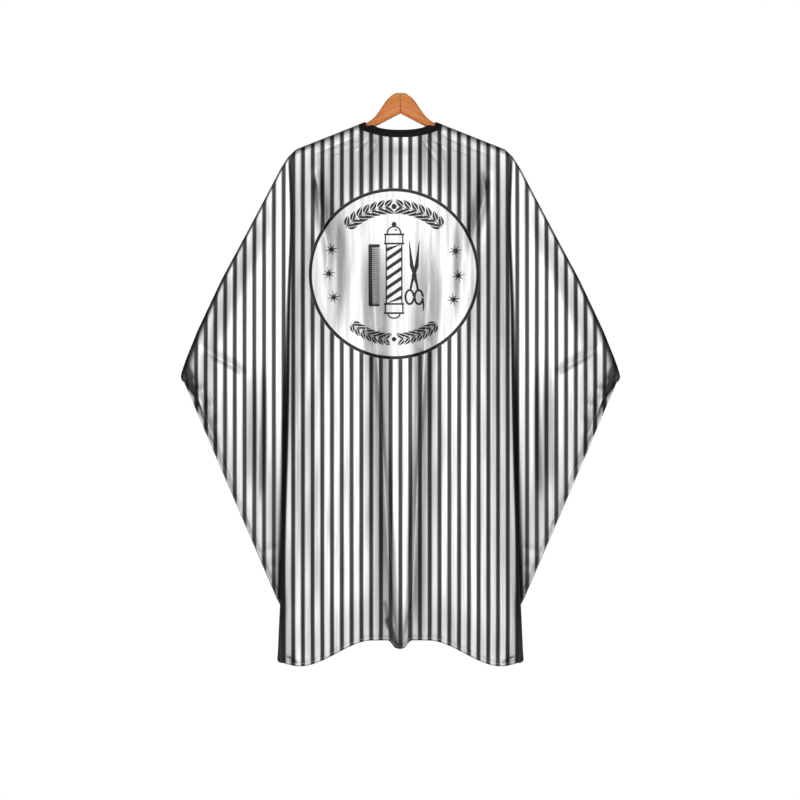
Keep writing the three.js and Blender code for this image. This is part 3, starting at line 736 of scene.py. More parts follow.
def elastic_object(name, rails, travel):
    """A flat woven tape inside the fold."""
    across = np.linspace(*TAPE_EDGES, 9)
    points = rails[:, None, 0] + (rails[:, 1] - rails[:, 0])[:, None] * across[:, None] / BAND_WIDTH
    flat = np.stack(np.broadcast_arrays(travel[:, None], across * MM), -1)
    tape = grid_object(name, points, flat)
    apply_modifier(tape, "SOLIDIFY", thickness=TAPE_THICKNESS, offset=0)
    return tape


# %% Bands and tapes in place
BAND_PARTS = {
    "front": ("front", front_rails, front_travel),
    "left": ("back_left", left_rails, back_travel),
    "right": ("back_right", right_rails, back_travel),
}
trim = slice(6, -6)
bands = {key: band_object(f"band_{name}", rails, travel) for key, (name, rails, travel) in BAND_PARTS.items()}
tapes = {key: elastic_object(f"tape_{name}", rails[trim], travel[trim])
         for key, (name, rails, travel) in BAND_PARTS.items()}
print("band faces:", {key: len(band.data.polygons) for key, band in bands.items()})

# %% [markdown]
# ## The wooden hanger
# Two beech arms are planed and glued at the centre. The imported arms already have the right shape, so a
# copy of each is merged into one surface, its broad curves are smoothed, and its edges keep their round.

# %% Hanger arms
arms = {}
for _, word in SIDES:
    arm = add_object(f"arm_{word}", bpy.data.objects[f"hanger_arm_{word}"].data.copy())
    arm.data.materials.clear()
    edit_merged(arm, 1e-5)
    bpy.ops.mesh.tris_convert_to_quads(face_threshold=0.35, shape_threshold=0.7)
    bpy.ops.object.mode_set(mode="OBJECT")
    bpy.ops.object.shade_smooth_by_angle(angle=math.radians(40))
    arms[word] = arm
print("arm faces:", len(arms["left"].data.polygons))

# %% [markdown]
# ## Snap fasteners
# Three studs on the left end of the band meet two sockets on the right end, which gives the neck two sizes.
# Every part starts as a short cylinder: its face is inset, pushed in or out, and its rim is rounded.


# %% Snap parts
SNAP_RADIUS, SNAP_ROUND = 5 * MM, 0.16 * MM


def top_faces(piece, height):
    """Selects the faces of a piece in edit mode that lie at this height."""
    mesh = bmesh.from_edit_mesh(piece.data)
    for face in mesh.faces:
        face.select = abs(face.calc_center_median().z - height) < 1e-6 and abs(face.normal.z) > 0.9
    bmesh.update_edit_mesh(piece.data)


def snap_part(name, thickness, steps):
    """A round part built up from a disc by insets and pushes, each in millimetres."""
    bpy.ops.object.select_all(action="DESELECT")
    bpy.ops.mesh.primitive_cylinder_add(vertices=40, radius=SNAP_RADIUS, depth=thickness * MM,
                                        location=(0, 0, thickness / 2 * MM))
    piece = bpy.context.object
    piece.name = name
    bpy.ops.object.transform_apply(location=True)
    bpy.ops.object.mode_set(mode="EDIT")
    height = thickness * MM
    for inset, push in steps:
        bpy.ops.mesh.select_mode(type="FACE")
        bpy.ops.mesh.select_all(action="DESELECT")
        top_faces(piece, height)
        bpy.ops.mesh.inset(thickness=inset * MM)
        if push:
            bpy.ops.mesh.extrude_region_move(TRANSFORM_OT_translate={"value": (0, 0, push * MM)})
            height += push * MM
    bpy.ops.object.mode_set(mode="OBJECT")
    apply_modifier(piece, "BEVEL", width=SNAP_ROUND, segments=2, limit_method="ANGLE",
                   angle_limit=math.radians(40))
    bpy.ops.object.shade_smooth_by_angle(angle=math.radians(35))
    return piece


SNAP_KINDS = {
    "cap": snap_part("snap_kind_cap", 0.7, [(0.9, 0.35), (1.4, 0.2)]),
    "ring": snap_part("snap_kind_ring", 0.45, [(1.6, 0.35), (1.0, -0.5)]),
    "socket": snap_part("snap_kind_socket", 0.6, [(1.2, 1.1), (1.1, -1.2)]),
    "stud": snap_part("snap_kind_stud", 0.6, [(1.7, 0.5), (1.2, 1.3)]),
}


# %% Snaps in place
SEATED = 0.96  # share of half its thickness that a snap sits below its node's centre


def place_snap(node, kind, outward):
    """A copy of a snap part on the spot of its node, its top facing outward."""
    low, high = np.array(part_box(node))
    centre = Vector((low + high) / 2)
    part = add_object(f"fine_{node}", SNAP_KINDS[kind].data.copy())
    out = Vector(unit(outward))
    depth = abs(out.y) * (high[1] - low[1]) / 2
    turn = out.to_track_quat("Z", "X").to_matrix().to_4x4()
    turn.translation = centre - out * depth * SEATED
    part.data.transform(turn)
    return part


SNAPS = (
    ("left", left_rails, "stud", 1, (1, 2, 3)), ("left", left_rails, "ring", -1, (1, 2, 3)),
    ("right", right_rails, "cap", 1, (1, 2)), ("right", right_rails, "socket", -1, (1, 2)),
)
snaps = {}
for word, rails, kind, way, numbers in SNAPS:
    for node in (f"snap_{kind}_{number}" for number in numbers):
        centre = np.mean(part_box(node), axis=0)
        row = np.argmin(np.linalg.norm(rails.mean(1)[5:-5] - centre, axis=1)) + 5
        normal = np.cross(rails[row, 1] - rails[row, 0], rails[row + 4].mean(0) - rails[row - 4].mean(0))
        normal *= np.sign(normal[1]) * way
        snaps[node] = (place_snap(node, kind, normal), word)
for part in SNAP_KINDS.values():
    bpy.data.objects.remove(part)
print("snap parts placed:", len(snaps))

# %% [markdown]
# ## The care label
# A small satin label hangs inside the left flap, bowed a little across its lower part. It is left blank.

# %% Care label
RIBBON_THICKNESS = 0.4 * MM
low, high = np.array(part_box("care_label"))
across, down = np.linspace(low[0], high[0], 14), np.linspace(high[2], low[2], 22)
x, z = np.meshgrid(across, down)
curl = 0.9 * MM * ease(z[0, 0] - z, 0.02, 0.04) * np.cos((x - x.mean()) / (13 * MM) * 1.2)
y = back_layer_y(x, z) - 0.7 * MM - curl
label = grid_object("label_blank", np.stack([x, y, z], -1), np.stack([x - low[0], z - low[2]], -1))
apply_modifier(label, "SOLIDIFY", thickness=RIBBON_THICKNESS, offset=0)
print("label:", *(high - low).round(4)[[0, 2]], "m")

# %% [markdown]
# ## Stitches
# Hems are lockstitched about six millimetres in, and the band is topstitched near its open edge. A stitch
# is a thread about a third of a millimetre thick that dives at both ends, so each one is a small bead of
# a few faces, drawn a little thicker so that it shows.


# %% Stitch lines
def point_at(distance, travel, line):
    """The point of a line at this distance along it."""
    return np.array([np.interp(distance, travel, line[:, k]) for k in range(3)])


def inset_line(points, distance):
    """A line across the grid's columns, this far from its last row."""
    steps = np.linalg.norm(np.diff(points[::-1], axis=0), axis=2)
    travel = np.concatenate([np.zeros((1, steps.shape[1])), np.cumsum(steps, 0)])
    columns = range(points.shape[1])
    return np.array([point_at(distance, travel[:, column], points[::-1, column]) for column in columns])


def surface_normals(points):
    """Unit normals of a grid, pointing to the cloth's printed side."""
    return unit(np.cross(np.gradient(points, axis=0), np.gradient(points, axis=1)))


# %% Stitch beads
STITCH_PITCH, STITCH_LENGTH = 3 * MM, 2.3 * MM
THREAD_RADIUS, STITCH_LIFT = 0.27 * MM, 0.25 * MM
BEAD = [(-0.5, -0.6, 0.3), (-0.28, 0.25, 1), (0.28, 0.25, 1), (0.5, -0.6, 0.3)]  # along, up, size
BEAD_SIDES = 5


def stitch_object(name, lines):
    """One mesh with a bead for every stitch along (line, normals) pairs."""
    verts, faces = [], []
    for line, normals in lines:
        travel = travelled(line)
        for place in np.arange(STITCH_PITCH, travel[-1] - STITCH_PITCH / 2, STITCH_PITCH):
            start, end = (point_at(place + STITCH_LENGTH * half, travel, line) for half in (-0.5, 0.5))
            along = unit(end - start)
            out = point_at(place, travel, normals)
            out = unit(out - along * (out @ along))
            beside = np.cross(along, out)
            base = len(verts)
            for share, up, size in BEAD:
                centre = point_at(place, travel, line) + along * STITCH_LENGTH * share
                centre += out * (STITCH_LIFT + THREAD_RADIUS * up)
                for angle in np.arange(BEAD_SIDES) * 2 * np.pi / BEAD_SIDES:
                    spoke = beside * math.cos(angle) + out * math.sin(angle)
                    verts.append(centre + THREAD_RADIUS * size * spoke)
            for first in range(base, base + 3 * BEAD_SIDES, BEAD_SIDES):
                for k in range(BEAD_SIDES):
                    a, b = first + k, first + (k + 1) % BEAD_SIDES
                    faces.append((a, b, b + BEAD_SIDES, a + BEAD_SIDES))
            faces.append(tuple(range(base + BEAD_SIDES - 1, base - 1, -1)))
            faces.append(tuple(range(base + 3 * BEAD_SIDES, base + 4 * BEAD_SIDES)))
    mesh = bpy.data.meshes.new(name)
    mesh.from_pydata(verts, [], faces)
    mesh.shade_smooth()
    return add_object(name, mesh)


def edge_pair(points, distance):
    """A stitch line near the last row of a grid, with its normals."""
    return inset_line(points, distance), surface_normals(points)[-4]


BAND_STITCH = 0.86  # share of the band's width, from its fold


def band_pair(rails, way):
    """A stitch line on one face of the band."""
    out = band_outward(rails) * way
    line = rails[:, 0] + (rails[:, 1] - rails[:, 0]) * BAND_STITCH + out * 1.5 * MM
    return line[4:-4], out[4:-4]


# %% All seams
HEM_STITCH = 6 * MM
turned = TURN_STEPS + STRIP_STEPS + 1
middle = slice(turned, -turned)
seams = {"front_hem": [edge_pair(front_points[:, middle], HEM_STITCH)],
         "band_front": [band_pair(front_rails, way) for way in (1, -1)]}
for side, word in SIDES:
    seams[f"wing_{word}"] = [edge_pair(wing_points[word], HEM_STITCH)]
    slit = inset_line(flap_points[word][:, ::side].transpose(1, 0, 2), HEM_STITCH)
    slit_normals = surface_normals(flap_points[word])[:, ::side][:, -4]
    seams[f"flap_{word}"] = [(slit, slit_normals), edge_pair(flap_points[word], HEM_STITCH)]
    rails = BAND_PARTS[word][1]
    seams[f"band_{word}"] = [band_pair(rails, way) for way in (1, -1)]
stitches = {key: stitch_object(f"stitches_{key}", lines) for key, lines in seams.items()}
print("stitch faces:", sum(len(piece.data.polygons) for piece in stitches.values()))

# %% [markdown]
# ## The chest print
# Inside the ring sits a plain barber's emblem: a striped pole between a comb and scissors, with laurel
# leaves above and below and six small stars. The shapes are drawn flat, cut into small faces, and laid on
# the cloth by casting a ray back from in front of each point, so that they follow every fold.

# %% Drawing tools
DISC_CENTRE = (-14, -399)  # mm
ink_verts, ink_faces = [], []


def add_shape(outline):
    """Adds a filled outline of (across, up) points, in millimetres from the disc's centre."""
    start = len(ink_verts)
    corners = [Vector((a, b, 0)) for a, b in outline]
    ink_verts.extend(corners)
    ink_faces.extend([tuple(start + k for k in triangle) for triangle in tessellate_polygon([corners])])


def add_stroke(path, width):
    """Adds a line with round ends; width may be one number or one for each point."""
    path = np.array(path, float)
    widths = np.broadcast_to(np.array(width, float), len(path)) / 2
    along = np.gradient(path, axis=0)
    along /= np.linalg.norm(along, axis=1, keepdims=True) + 1e-9
    beside = np.stack([-along[:, 1], along[:, 0]], 1) * widths[:, None]
    outline = [*(path + beside), path[-1] + along[-1] * widths[-1], *(path - beside)[::-1]]
    outline.append(path[0] - along[0] * widths[0])
    add_shape(outline)


def arc(centre, radius, start, end, count=24, squeeze=1.0):
    """Points on part of a circle, with angles in degrees."""
    angles = np.radians(np.linspace(start, end, count))
    return [(centre[0] + radius * math.cos(a), centre[1] + radius * squeeze * math.sin(a)) for a in angles]


STAR_WAIST, MIDRIB = 4.2, 0.6


def add_star(a, b, radius=17, spikes=8):
    """Adds a star with long thin points."""
    outline = []
    for k in range(spikes * 2):
        reach = radius * (0.85 if k % 4 else 1) if k % 2 == 0 else STAR_WAIST
        angle = math.radians(12) + math.pi * k / spikes
        outline.append((a + reach * math.cos(angle), b + reach * math.sin(angle)))
    add_shape(outline)


def add_leaf(radius, angle, lean, way, length=23, width=11):
    """Adds a laurel leaf in two halves with a bare midrib; way -1 mirrors it to the left."""
    angle, heading = math.radians(angle), math.radians(angle + 90 + lean)
    root = np.array([radius * math.cos(angle), radius * math.sin(angle)])
    ahead = np.array([math.cos(heading), math.sin(heading)])
    beside = np.array([-ahead[1], ahead[0]])
    t = np.linspace(0, 1, 12)
    bulge = width / 2 * np.sin(np.pi * t**0.8)
    for half in (-1, 1):
        outer = [root + ahead * length * k + beside * half * (MIDRIB + w) for k, w in zip(t, bulge)]
        inner = [root + ahead * length * k + beside * half * MIDRIB for k in t[::-1][1:-1]]
        add_shape([(way * a, b) for a, b in outer + inner])


# %% The pole
POLE, GLASS, CAP = 17, 66, 86  # half widths and heights
for up in (CAP, GLASS, -GLASS, -CAP):
    add_stroke([(-POLE - 4, up), (POLE + 4, up)], 4)
for way in (-1, 1):
    add_stroke([(way * (POLE + 2), GLASS), (way * (POLE + 2), CAP)], 3)
    add_stroke([(way * (POLE + 2), -GLASS), (way * (POLE + 2), -CAP)], 3)
    add_stroke([(way * POLE, -GLASS), (way * POLE, GLASS)], 3)
add_stroke(arc((0, 88), 15, 0, 180), 3.2)
add_shape(arc((0, 108), 5.5, 0, 345))
add_stroke(arc((0, -88), 13, 180, 360, squeeze=0.7), 3.2)
add_shape(arc((4, 96), 3, 0, 345, 10, 0.6))
for step in range(-3, 4):
    rise = 21 * step
    band = [(-POLE + 1, rise - 15), (POLE - 1, rise + 7), (POLE - 1, rise + 16), (-POLE + 1, rise - 6)]
    add_shape([(a, min(max(b, 1 - GLASS), GLASS - 1)) for a, b in band])
for rise in range(-58, 64, 21):
    slant = [(-POLE + 2, rise - 14.5), (POLE - 2, rise + 6.5)]
    add_stroke([(a, min(max(b, 2 - GLASS), GLASS - 2)) for a, b in slant], 1)

# %% Comb and scissors
comb_x, comb_low, comb_high = -43, -68, 62
FIRST_TOOTH, TOOTH_PITCH, TEETH = 4.6, 4.35, 29
add_stroke([(comb_x - 9, comb_low), (comb_x - 9, comb_high)], 8)
for up in (comb_low, comb_high):
    add_stroke([(comb_x - 11, up), (comb_x + 10, up)], 5)
for k in range(TEETH):
    up = comb_low + FIRST_TOOTH + k * TOOTH_PITCH
    add_stroke([(comb_x - 7, up), (comb_x + 11, up)], [3.2, 2])

PIVOT = 44
for way in (-1, 1):
    add_stroke([(PIVOT - way * 2.5, -6), (PIVOT + way * 5.5, 18), (PIVOT + way * 11, 72)], [7, 8.5, 1])
    add_stroke([(PIVOT - way * 1, -4), (PIVOT - way * 6, -24), (PIVOT - way * 8, -34)], [7, 5, 4.6])
    add_stroke(arc((PIVOT - way * 10, -51), 9, 0, 360, 30, 1.7), 4.6)
add_shape(arc((PIVOT, -2), 5, 0, 345, 16))
add_stroke([(PIVOT + 19, -57), (PIVOT + 21, -70), (PIVOT + 19, -80)], [4.4, 3.6, 2])

# %% Stars and laurel
for a, b in ((-137, 54), (-143, 1), (-132, -51), (134, 50), (141, -4), (130, -56)):
    add_star(a, b)

for way in (-1, 1):
    for k in range(7):
        add_leaf(148, 45 + 6.2 * k, -36, way)
        add_leaf(144, 45 + 6.2 * k, 36, way)
        add_leaf(145, -50 - 5.2 * k, 144 + 72, way, 19, 9)
        add_leaf(141, -50 - 5.2 * k, 144, way, 19, 9)
    add_stroke([(way * a, b) for a, b in arc((0, 0), 146, 44, 86)], 1.4)
    add_stroke([(way * a, b) for a, b in arc((0, 0), 143, -49, -85)], 1.4)
add_shape(arc((0, 147), 6, 0, 345, 20))
add_shape(arc((0, -143), 5, 0, 345, 20))
print("print shapes:", len(ink_faces), "flat faces")

# %% Lay the print on the cloth
INK_CELL = 5 * MM
INK_LIFT = 0.16 * MM


def lay_on_cloth(name, verts, faces, cloth, lift):
    """Cuts flat shapes into small cells, then moves every corner onto the cloth."""
    mesh = bpy.data.meshes.new(name)
    across, up = DISC_CENTRE
    mesh.from_pydata([((across + v.x) * MM, 0, (up + v.y) * MM) for v in verts], [], faces)
    cut = bmesh.new()
    cut.from_mesh(mesh)
    for direction in (Vector((1, 0, 0)), Vector((0, 0, 1))):
        values = [vert.co @ direction for vert in cut.verts]
        for place in np.arange(min(values) + INK_CELL, max(values), INK_CELL):
            bmesh.ops.bisect_plane(cut, geom=cut.verts[:] + cut.edges[:] + cut.faces[:],
                                   plane_co=direction * place, plane_no=direction)
    tree = BVHTree.FromObject(cloth, bpy.context.evaluated_depsgraph_get())
    for vert in cut.verts:
        hit, normal, _, _ = tree.ray_cast(Vector((vert.co.x, -1, vert.co.z)), Vector((0, 1, 0)))
        vert.co = hit + (normal if normal.y < 0 else -normal) * lift
    for face in cut.faces:
        if face.normal.y > 0:
            face.normal_flip()
    cut.to_mesh(mesh)
    cut.free()
    mesh.shade_smooth()
    return add_object(name, mesh)


# %% [markdown]
# ## Finishes
# Each finish starts from what the real surface is. Colours are given as sRGB hex values.


# %% Node helpers
def colour(code):
    """sRGB hex to linear RGBA."""
    parts = [int(code[i : i + 2], 16) / 255 for i in (1, 3, 5)]
    return [p / 12.92 if p <= 0.04045 else ((p + 0.055) / 1.055) ** 2.4 for p in parts] + [1]


def set_inputs(node, inputs):
    """Gives each input its value, or links it if it is given a socket."""
    for key, value in inputs.items():
        if isinstance(value, bpy.types.NodeSocket):
            node.id_data.links.new(value, node.inputs[key])
        else:
            node.inputs[key].default_value = value


def set_shader(tree, **settings):
    """Sets or links the shader's inputs, named as in base_color for Base Color."""
    names = {key: key.replace("_", " ").title().replace("Ior", "IOR") for key in settings}
    set_inputs(tree.nodes["Principled BSDF"], {names[key]: value for key, value in settings.items()})


def new_material(name, **settings):
    """A material with one shader, and that shader's own settings."""
    material = bpy.data.materials.new(name)
    material.use_nodes = True
    set_shader(material.node_tree, **settings)
    return material, material.node_tree


def add_node(tree, kind, inputs=None, stops=(), **settings):
    """Adds a node with its inputs and settings, and the hex colours of a colour ramp's stops."""
    node = tree.nodes.new(f"ShaderNode{kind}")
    for key, value in settings.items():
        setattr(node, key, value)
    for stop, code in enumerate(stops):
        node.color_ramp.elements[stop].color = colour(code)
    set_inputs(node, inputs or {})
    return node.outputs


# %% [markdown]
# ### Printed satin
# Polyester satin, woven with long smooth floats and screen printed with dark stripes. The floats lie flat
# and side by side, so the cloth mirrors light nearly as brushed metal does: bright where it faces the
# lamp, and quickly darker where it turns away. The stripes' edges are soft, because the ink bleeds a
# little along the threads. The inner side shows the same print, paler, through the cloth.

# %% Printed satin
STRIPE_PITCH = 21.4  # mm, as are the sizes below
STRIPE_HALF_DARK, STRIPE_HALF_PALE = 2.7, 6.8
DISC_RADIUS = 187
RING_WIDTH = 7
PRINT_EDGE = 0.4
THREAD = 0.9  # mm; the real thread of 0.2 mm is too fine to show


def printed_satin(name, ground, ink_colour, ring_colour, metallic, roughness):
    """Satin with the stripes, ring and blank disc of the chest print, darkened by each point's painted shade.
    """
    material, tree = new_material(name, roughness=roughness, metallic=metallic)
    uv = add_node(tree, "UVMap", uv_map="cloth")["UV"]
    flat = add_node(tree, "VectorMath", {0: uv, 3: 1000.0}, operation="SCALE")[0]
    place = add_node(tree, "SeparateXYZ", {0: flat})
    bleed = add_node(tree, "TexNoise", {"Vector": flat, "Scale": 0.35, "Detail": 3.0})["Fac"]
    bleed = add_node(tree, "Math", {0: bleed, 1: 0.5}, operation="SUBTRACT")[0]
    shifted = add_node(tree, "Math", {0: place["X"], 1: STRIPE_PITCH / 2}, operation="PINGPONG")[0]
    off = add_node(tree, "Math", {0: bleed, 1: 0.9, 2: shifted}, operation="MULTIPLY_ADD")[0]
    limits = {"From Min": STRIPE_HALF_DARK, "From Max": STRIPE_HALF_PALE, "To Min": 1.0, "To Max": 0.0}
    stripe = add_node(tree, "MapRange", {"Value": off, **limits}, interpolation_type="SMOOTHSTEP")[0]
    radius = add_node(tree, "VectorMath", {0: flat, 1: (*DISC_CENTRE, 0)}, operation="DISTANCE")["Value"]
    edges = [{"From Min": rim - PRINT_EDGE, "From Max": rim + PRINT_EDGE}
             for rim in (DISC_RADIUS, DISC_RADIUS - RING_WIDTH)]
    outside, inside = [add_node(tree, "MapRange", {"Value": radius, **edge})[0] for edge in edges]
    striped = add_node(tree, "Math", {0: stripe, 1: outside}, operation="MULTIPLY")[0]
    ring = add_node(tree, "Math", {0: inside, 1: outside}, operation="SUBTRACT")[0]
    streaky = add_node(tree, "VectorMath", {0: flat, 1: (1 / 11, 1 / 260, 0)}, operation="MULTIPLY")[0]
    mottle = add_node(tree, "TexNoise", {"Vector": streaky, "Scale": 1.0, "Detail": 4.0})["Fac"]
    spread = add_node(tree, "MapRange", {"Value": mottle, "From Min": 0.32, "From Max": 0.6})[0]
    layered = add_node(tree, "ValToRGB", {"Fac": spread}, stops=ground)["Color"]
    # Each point's painted shade darkens the colour towards near black (#060607).
    painted_shade = add_node(tree, "Attribute", attribute_name="painted_shade")["Fac"]
    for mask, code in ((striped, ink_colour), (ring, ring_colour), (painted_shade, "#060607")):
        layered = add_node(tree, "Mix", {0: mask, 6: layered, 7: colour(code)}, data_type="RGBA")[2]
    twill = {0: flat, 1: (1 / THREAD, 0.35 / THREAD, 0)}
    twill = add_node(tree, "VectorMath", twill, operation="MULTIPLY")[0]
    weave = {"Vector": twill, "Scale": 0.5, "Distortion": 0.4}
    weave = add_node(tree, "TexWave", weave, bands_direction="DIAGONAL")["Fac"]
    bump = add_node(tree, "Bump", {"Height": weave, "Strength": 0.12, "Distance": 0.0002})[0]
    set_shader(tree, base_color=layered, normal=bump)
    return material


satin = printed_satin("printed_satin", ("#d6d6d9", "#ffffff"), "#2d2d2f", "#111112",
                      metallic=0.4, roughness=0.46)
satin_inside = printed_satin("satin_reverse", ("#e2e2e5", "#eeeef0"), "#77777b", "#6d6d70",
                             metallic=0.0, roughness=0.6)

# %% [markdown]
# ### Screen ink
# Black plastisol ink lies on the satin as a thin rubbery film: it is less shiny than the threads, and
# the weave still shows through it as a faint grain.

# %% Ink
def speckled(name, scale, stops, detail=2.0, **settings):
    """A finish with fine specks from one colour to another; scale is how many there are in a metre."""
    material, tree = new_material(name, **settings)
    place = add_node(tree, "TexCoord")["Object"]
    speck = add_node(tree, "TexNoise", {"Vector": place, "Scale": scale, "Detail": detail})["Fac"]
    set_shader(tree, base_color=add_node(tree, "ValToRGB", {"Fac": speck}, stops=stops)["Color"])
    return material, tree, speck


ink, tree, speck = speckled("screen_ink", 900.0, ("#08080a", "#1c1c1e"), roughness=0.55, ior=1.48)
grain = add_node(tree, "Bump", {"Height": speck, "Strength": 0.25, "Distance": 0.0001})[0]
set_shader(tree, normal=grain)

# %% [markdown]
# ### Black rib knit
# The ribs are in the mesh. Between them the knit's loops are about a millimetre long and lean left and
# right in turn, which gives the matt, slightly furry black of a cotton rib.

# %% Rib knit
LOOP = 1.1 * MM
knit, tree = new_material("black_rib_knit", roughness=0.95, ior=1.4, sheen_weight=0.08, sheen_roughness=0.5)
uv = add_node(tree, "UVMap", uv_map="cloth")["UV"]
loops = add_node(tree, "VectorMath", {0: uv, 1: (2 / RIB_PITCH, 1 / LOOP, 0)}, operation="MULTIPLY")[0]
rows_of_loops = {"Vector": loops, "Scale": 0.32, "Distortion": 0.6}
rows_of_loops = add_node(tree, "TexWave", rows_of_loops, bands_direction="DIAGONAL")["Fac"]
fuzz = add_node(tree, "TexNoise", {"Vector": uv, "Scale": 2200.0, "Detail": 3.0})["Fac"]
height = add_node(tree, "Math", {0: fuzz, 1: 0.5, 2: rows_of_loops}, operation="MULTIPLY_ADD")[0]
tone = add_node(tree, "ValToRGB", {"Fac": rows_of_loops}, stops=("#050506", "#131314"))["Color"]
bump = add_node(tree, "Bump", {"Height": height, "Strength": 0.6, "Distance": 0.0003})[0]
set_shader(tree, base_color=tone, normal=bump)

# %% [markdown]
# ### Woven elastic
# White covered rubber threads run along the tape, about one a millimetre, and polyester picks cross them.

# %% Woven elastic
def woven(name, per_metre, wave, bands, stops, bump, **settings):
    """A weave with ridges at a pitch across and along its flat coordinates, paler on top of each ridge and
    darker between: painted shade.
    """
    material, tree = new_material(name, **settings)
    uv = add_node(tree, "UVMap", uv_map="cloth")["UV"]
    scaled = add_node(tree, "VectorMath", {0: uv, 1: (*per_metre, 0)}, operation="MULTIPLY")[0]
    ridge = add_node(tree, "TexWave", {"Vector": scaled, **wave}, bands_direction=bands)["Fac"]
    # Painted shade: the colour follows the ridges, darker in the grooves between them.
    tone = add_node(tree, "ValToRGB", {"Fac": ridge}, stops=stops)["Color"]
    set_shader(tree, base_color=tone, normal=add_node(tree, "Bump", {"Height": ridge, **bump})[0])
    return material


elastic = woven("woven_elastic", (0.35 / MM, 1 / MM), {"Scale": 0.32, "Distortion": 0.3}, "Y",
                ("#cfcfcb", "#f1f1ee"), {"Strength": 0.5, "Distance": 0.0003},
                roughness=0.75, ior=1.5, sheen_weight=0.1)

# %% [markdown]
# ### Lacquered beech
# The arms are sawn along the grain, so its fine lines run from each tip up to the joint. Clear lacquer
# over it gives a soft even gloss. Beech also shows its rays, short dark flecks one to three millimetres long.

# %% Beech
GRAIN_SLOPE = math.atan(-SEAM_SLOPE)
beech, tree = new_material("lacquered_beech", roughness=0.55, ior=1.45, coat_weight=0.08, coat_roughness=0.3)
place = add_node(tree, "SeparateXYZ", {0: add_node(tree, "TexCoord")["Object"]})
outward = add_node(tree, "Math", {0: place["X"]}, operation="ABSOLUTE")[0]
folded = add_node(tree, "CombineXYZ", {"X": outward, "Y": place["Y"], "Z": place["Z"]})[0]
along = add_node(tree, "Mapping", {"Vector": folded, "Rotation": (0, -GRAIN_SLOPE, 0)})[0]
stretched = add_node(tree, "VectorMath", {0: along, 1: (9, 300, 520)}, operation="MULTIPLY")[0]
lines = {"Vector": stretched, "Scale": 1.0, "Detail": 5.0, "Roughness": 0.62}
lines = add_node(tree, "TexNoise", lines)["Fac"]
wide = add_node(tree, "VectorMath", {0: along, 1: (5, 60, 90)}, operation="MULTIPLY")[0]
bands_of_tone = add_node(tree, "TexNoise", {"Vector": wide, "Scale": 1.0, "Detail": 2.0})["Fac"]
flecks = add_node(tree, "VectorMath", {0: along, 1: (420, 900, 1500)}, operation="MULTIPLY")[0]
rays = add_node(tree, "TexVoronoi", {"Vector": flecks, "Scale": 0.6})["Distance"]
fading = {"From Min": 0.08, "From Max": 0.22, "To Min": 0.35, "To Max": 0.0}
ray_mask = add_node(tree, "MapRange", {"Value": rays, **fading})[0]
both = add_node(tree, "Math", {0: bands_of_tone, 1: 0.5, 2: lines}, operation="MULTIPLY_ADD")[0]
ramp_in = add_node(tree, "MapRange", {"Value": both, "From Min": 0.6, "From Max": 0.92})[0]
wood = add_node(tree, "ValToRGB", {"Fac": ramp_in}, stops=("#db7123", "#ffb057"))["Color"]
fading = {"From Min": 0.0001, "From Max": 0.0006, "To Min": 0.75, "To Max": 0.0}
joint = add_node(tree, "MapRange", {"Value": outward, **fading})[0]
for mask, code in ((ray_mask, "#a9531f"), (joint, "#5a2a10")):
    wood = add_node(tree, "Mix", {0: mask, 6: wood, 7: colour(code)}, data_type="RGBA")[2]
bump = add_node(tree, "Bump", {"Height": lines, "Strength": 0.12, "Distance": 0.0003})[0]
set_shader(tree, base_color=wood, normal=bump)

# %% [markdown]
# ### Snaps, thread and label
# The snaps are black lacquered brass, and use has worn their lacquer a little. Thread is white spun
# polyester. The label is a plain white satin ribbon with a fine weave.

# %% Snap lacquer and thread
snap_black, tree, smear = speckled("black_lacquered_snap", 700.0, ("#121214", "#2d2d30"), detail=4.0,
                                   ior=1.5, coat_weight=0.4)
set_shader(tree, roughness=add_node(tree, "MapRange", {"Value": smear, "To Min": 0.25, "To Max": 0.55})[0])

SPUN = {"scale": 2500.0, "ior": 1.5, "sheen_weight": 0.2}
thread = speckled("spun_thread", stops=("#b9b9b8", "#ecece9"), roughness=0.7, **SPUN)[0]
black_thread = speckled("black_spun_thread", stops=("#161617", "#333335"), roughness=0.75, **SPUN)[0]

# %% Label ribbon
ribbon = woven("label_ribbon", (2 / MM, 2 / MM), {"Scale": 0.3}, "DIAGONAL",
               ("#dededb", "#f7f7f5"), {"Strength": 0.3, "Distance": 0.0001},
               roughness=0.4, ior=1.5, sheen_weight=0.1)

# %% [markdown]
# ## Thickness and print
# The cloth gets its half millimetre of thickness. Its printed side keeps the first finish, and its inner
# side takes the paler one. The print is laid on last, because it must touch the finished surface.

# %% Thickness and print
CLOTH_THICKNESS = 0.5 * MM
CLOTHS = [front_cloth, *wings.values(), *flaps.values()]
for piece in CLOTHS:
    piece.data.materials.append(satin)
    piece.data.materials.append(satin_inside)
    apply_modifier(piece, "SOLIDIFY", thickness=CLOTH_THICKNESS, offset=0, material_offset=1)
print_film = lay_on_cloth("chest_print", ink_verts, ink_faces, front_cloth, INK_LIFT)

FINISHES = [
    (ink, [print_film], "printed_cloth"), (knit, bands.values(), "black_knit"),
    (elastic, tapes.values(), "white_elastic"), (beech, arms.values(), "beech"),
    (snap_black, [part for part, _ in snaps.values()], "black_snap"), (ribbon, [label], "label_satin"),
    (thread, [piece for key, piece in stitches.items() if not key.startswith("band")], "printed_cloth"),
    (black_thread, [piece for key, piece in stitches.items() if key.startswith("band")], "black_knit"),
]
for finish, pieces, slot in FINISHES:
    for piece in pieces:
        piece.data.materials.clear()
        piece.data.materials.append(finish)

# %% [markdown]
# ## What rides on what
# The front, its band, its print and its stitches move with the cape. The wings and their stitches
# are fixed where they are built.

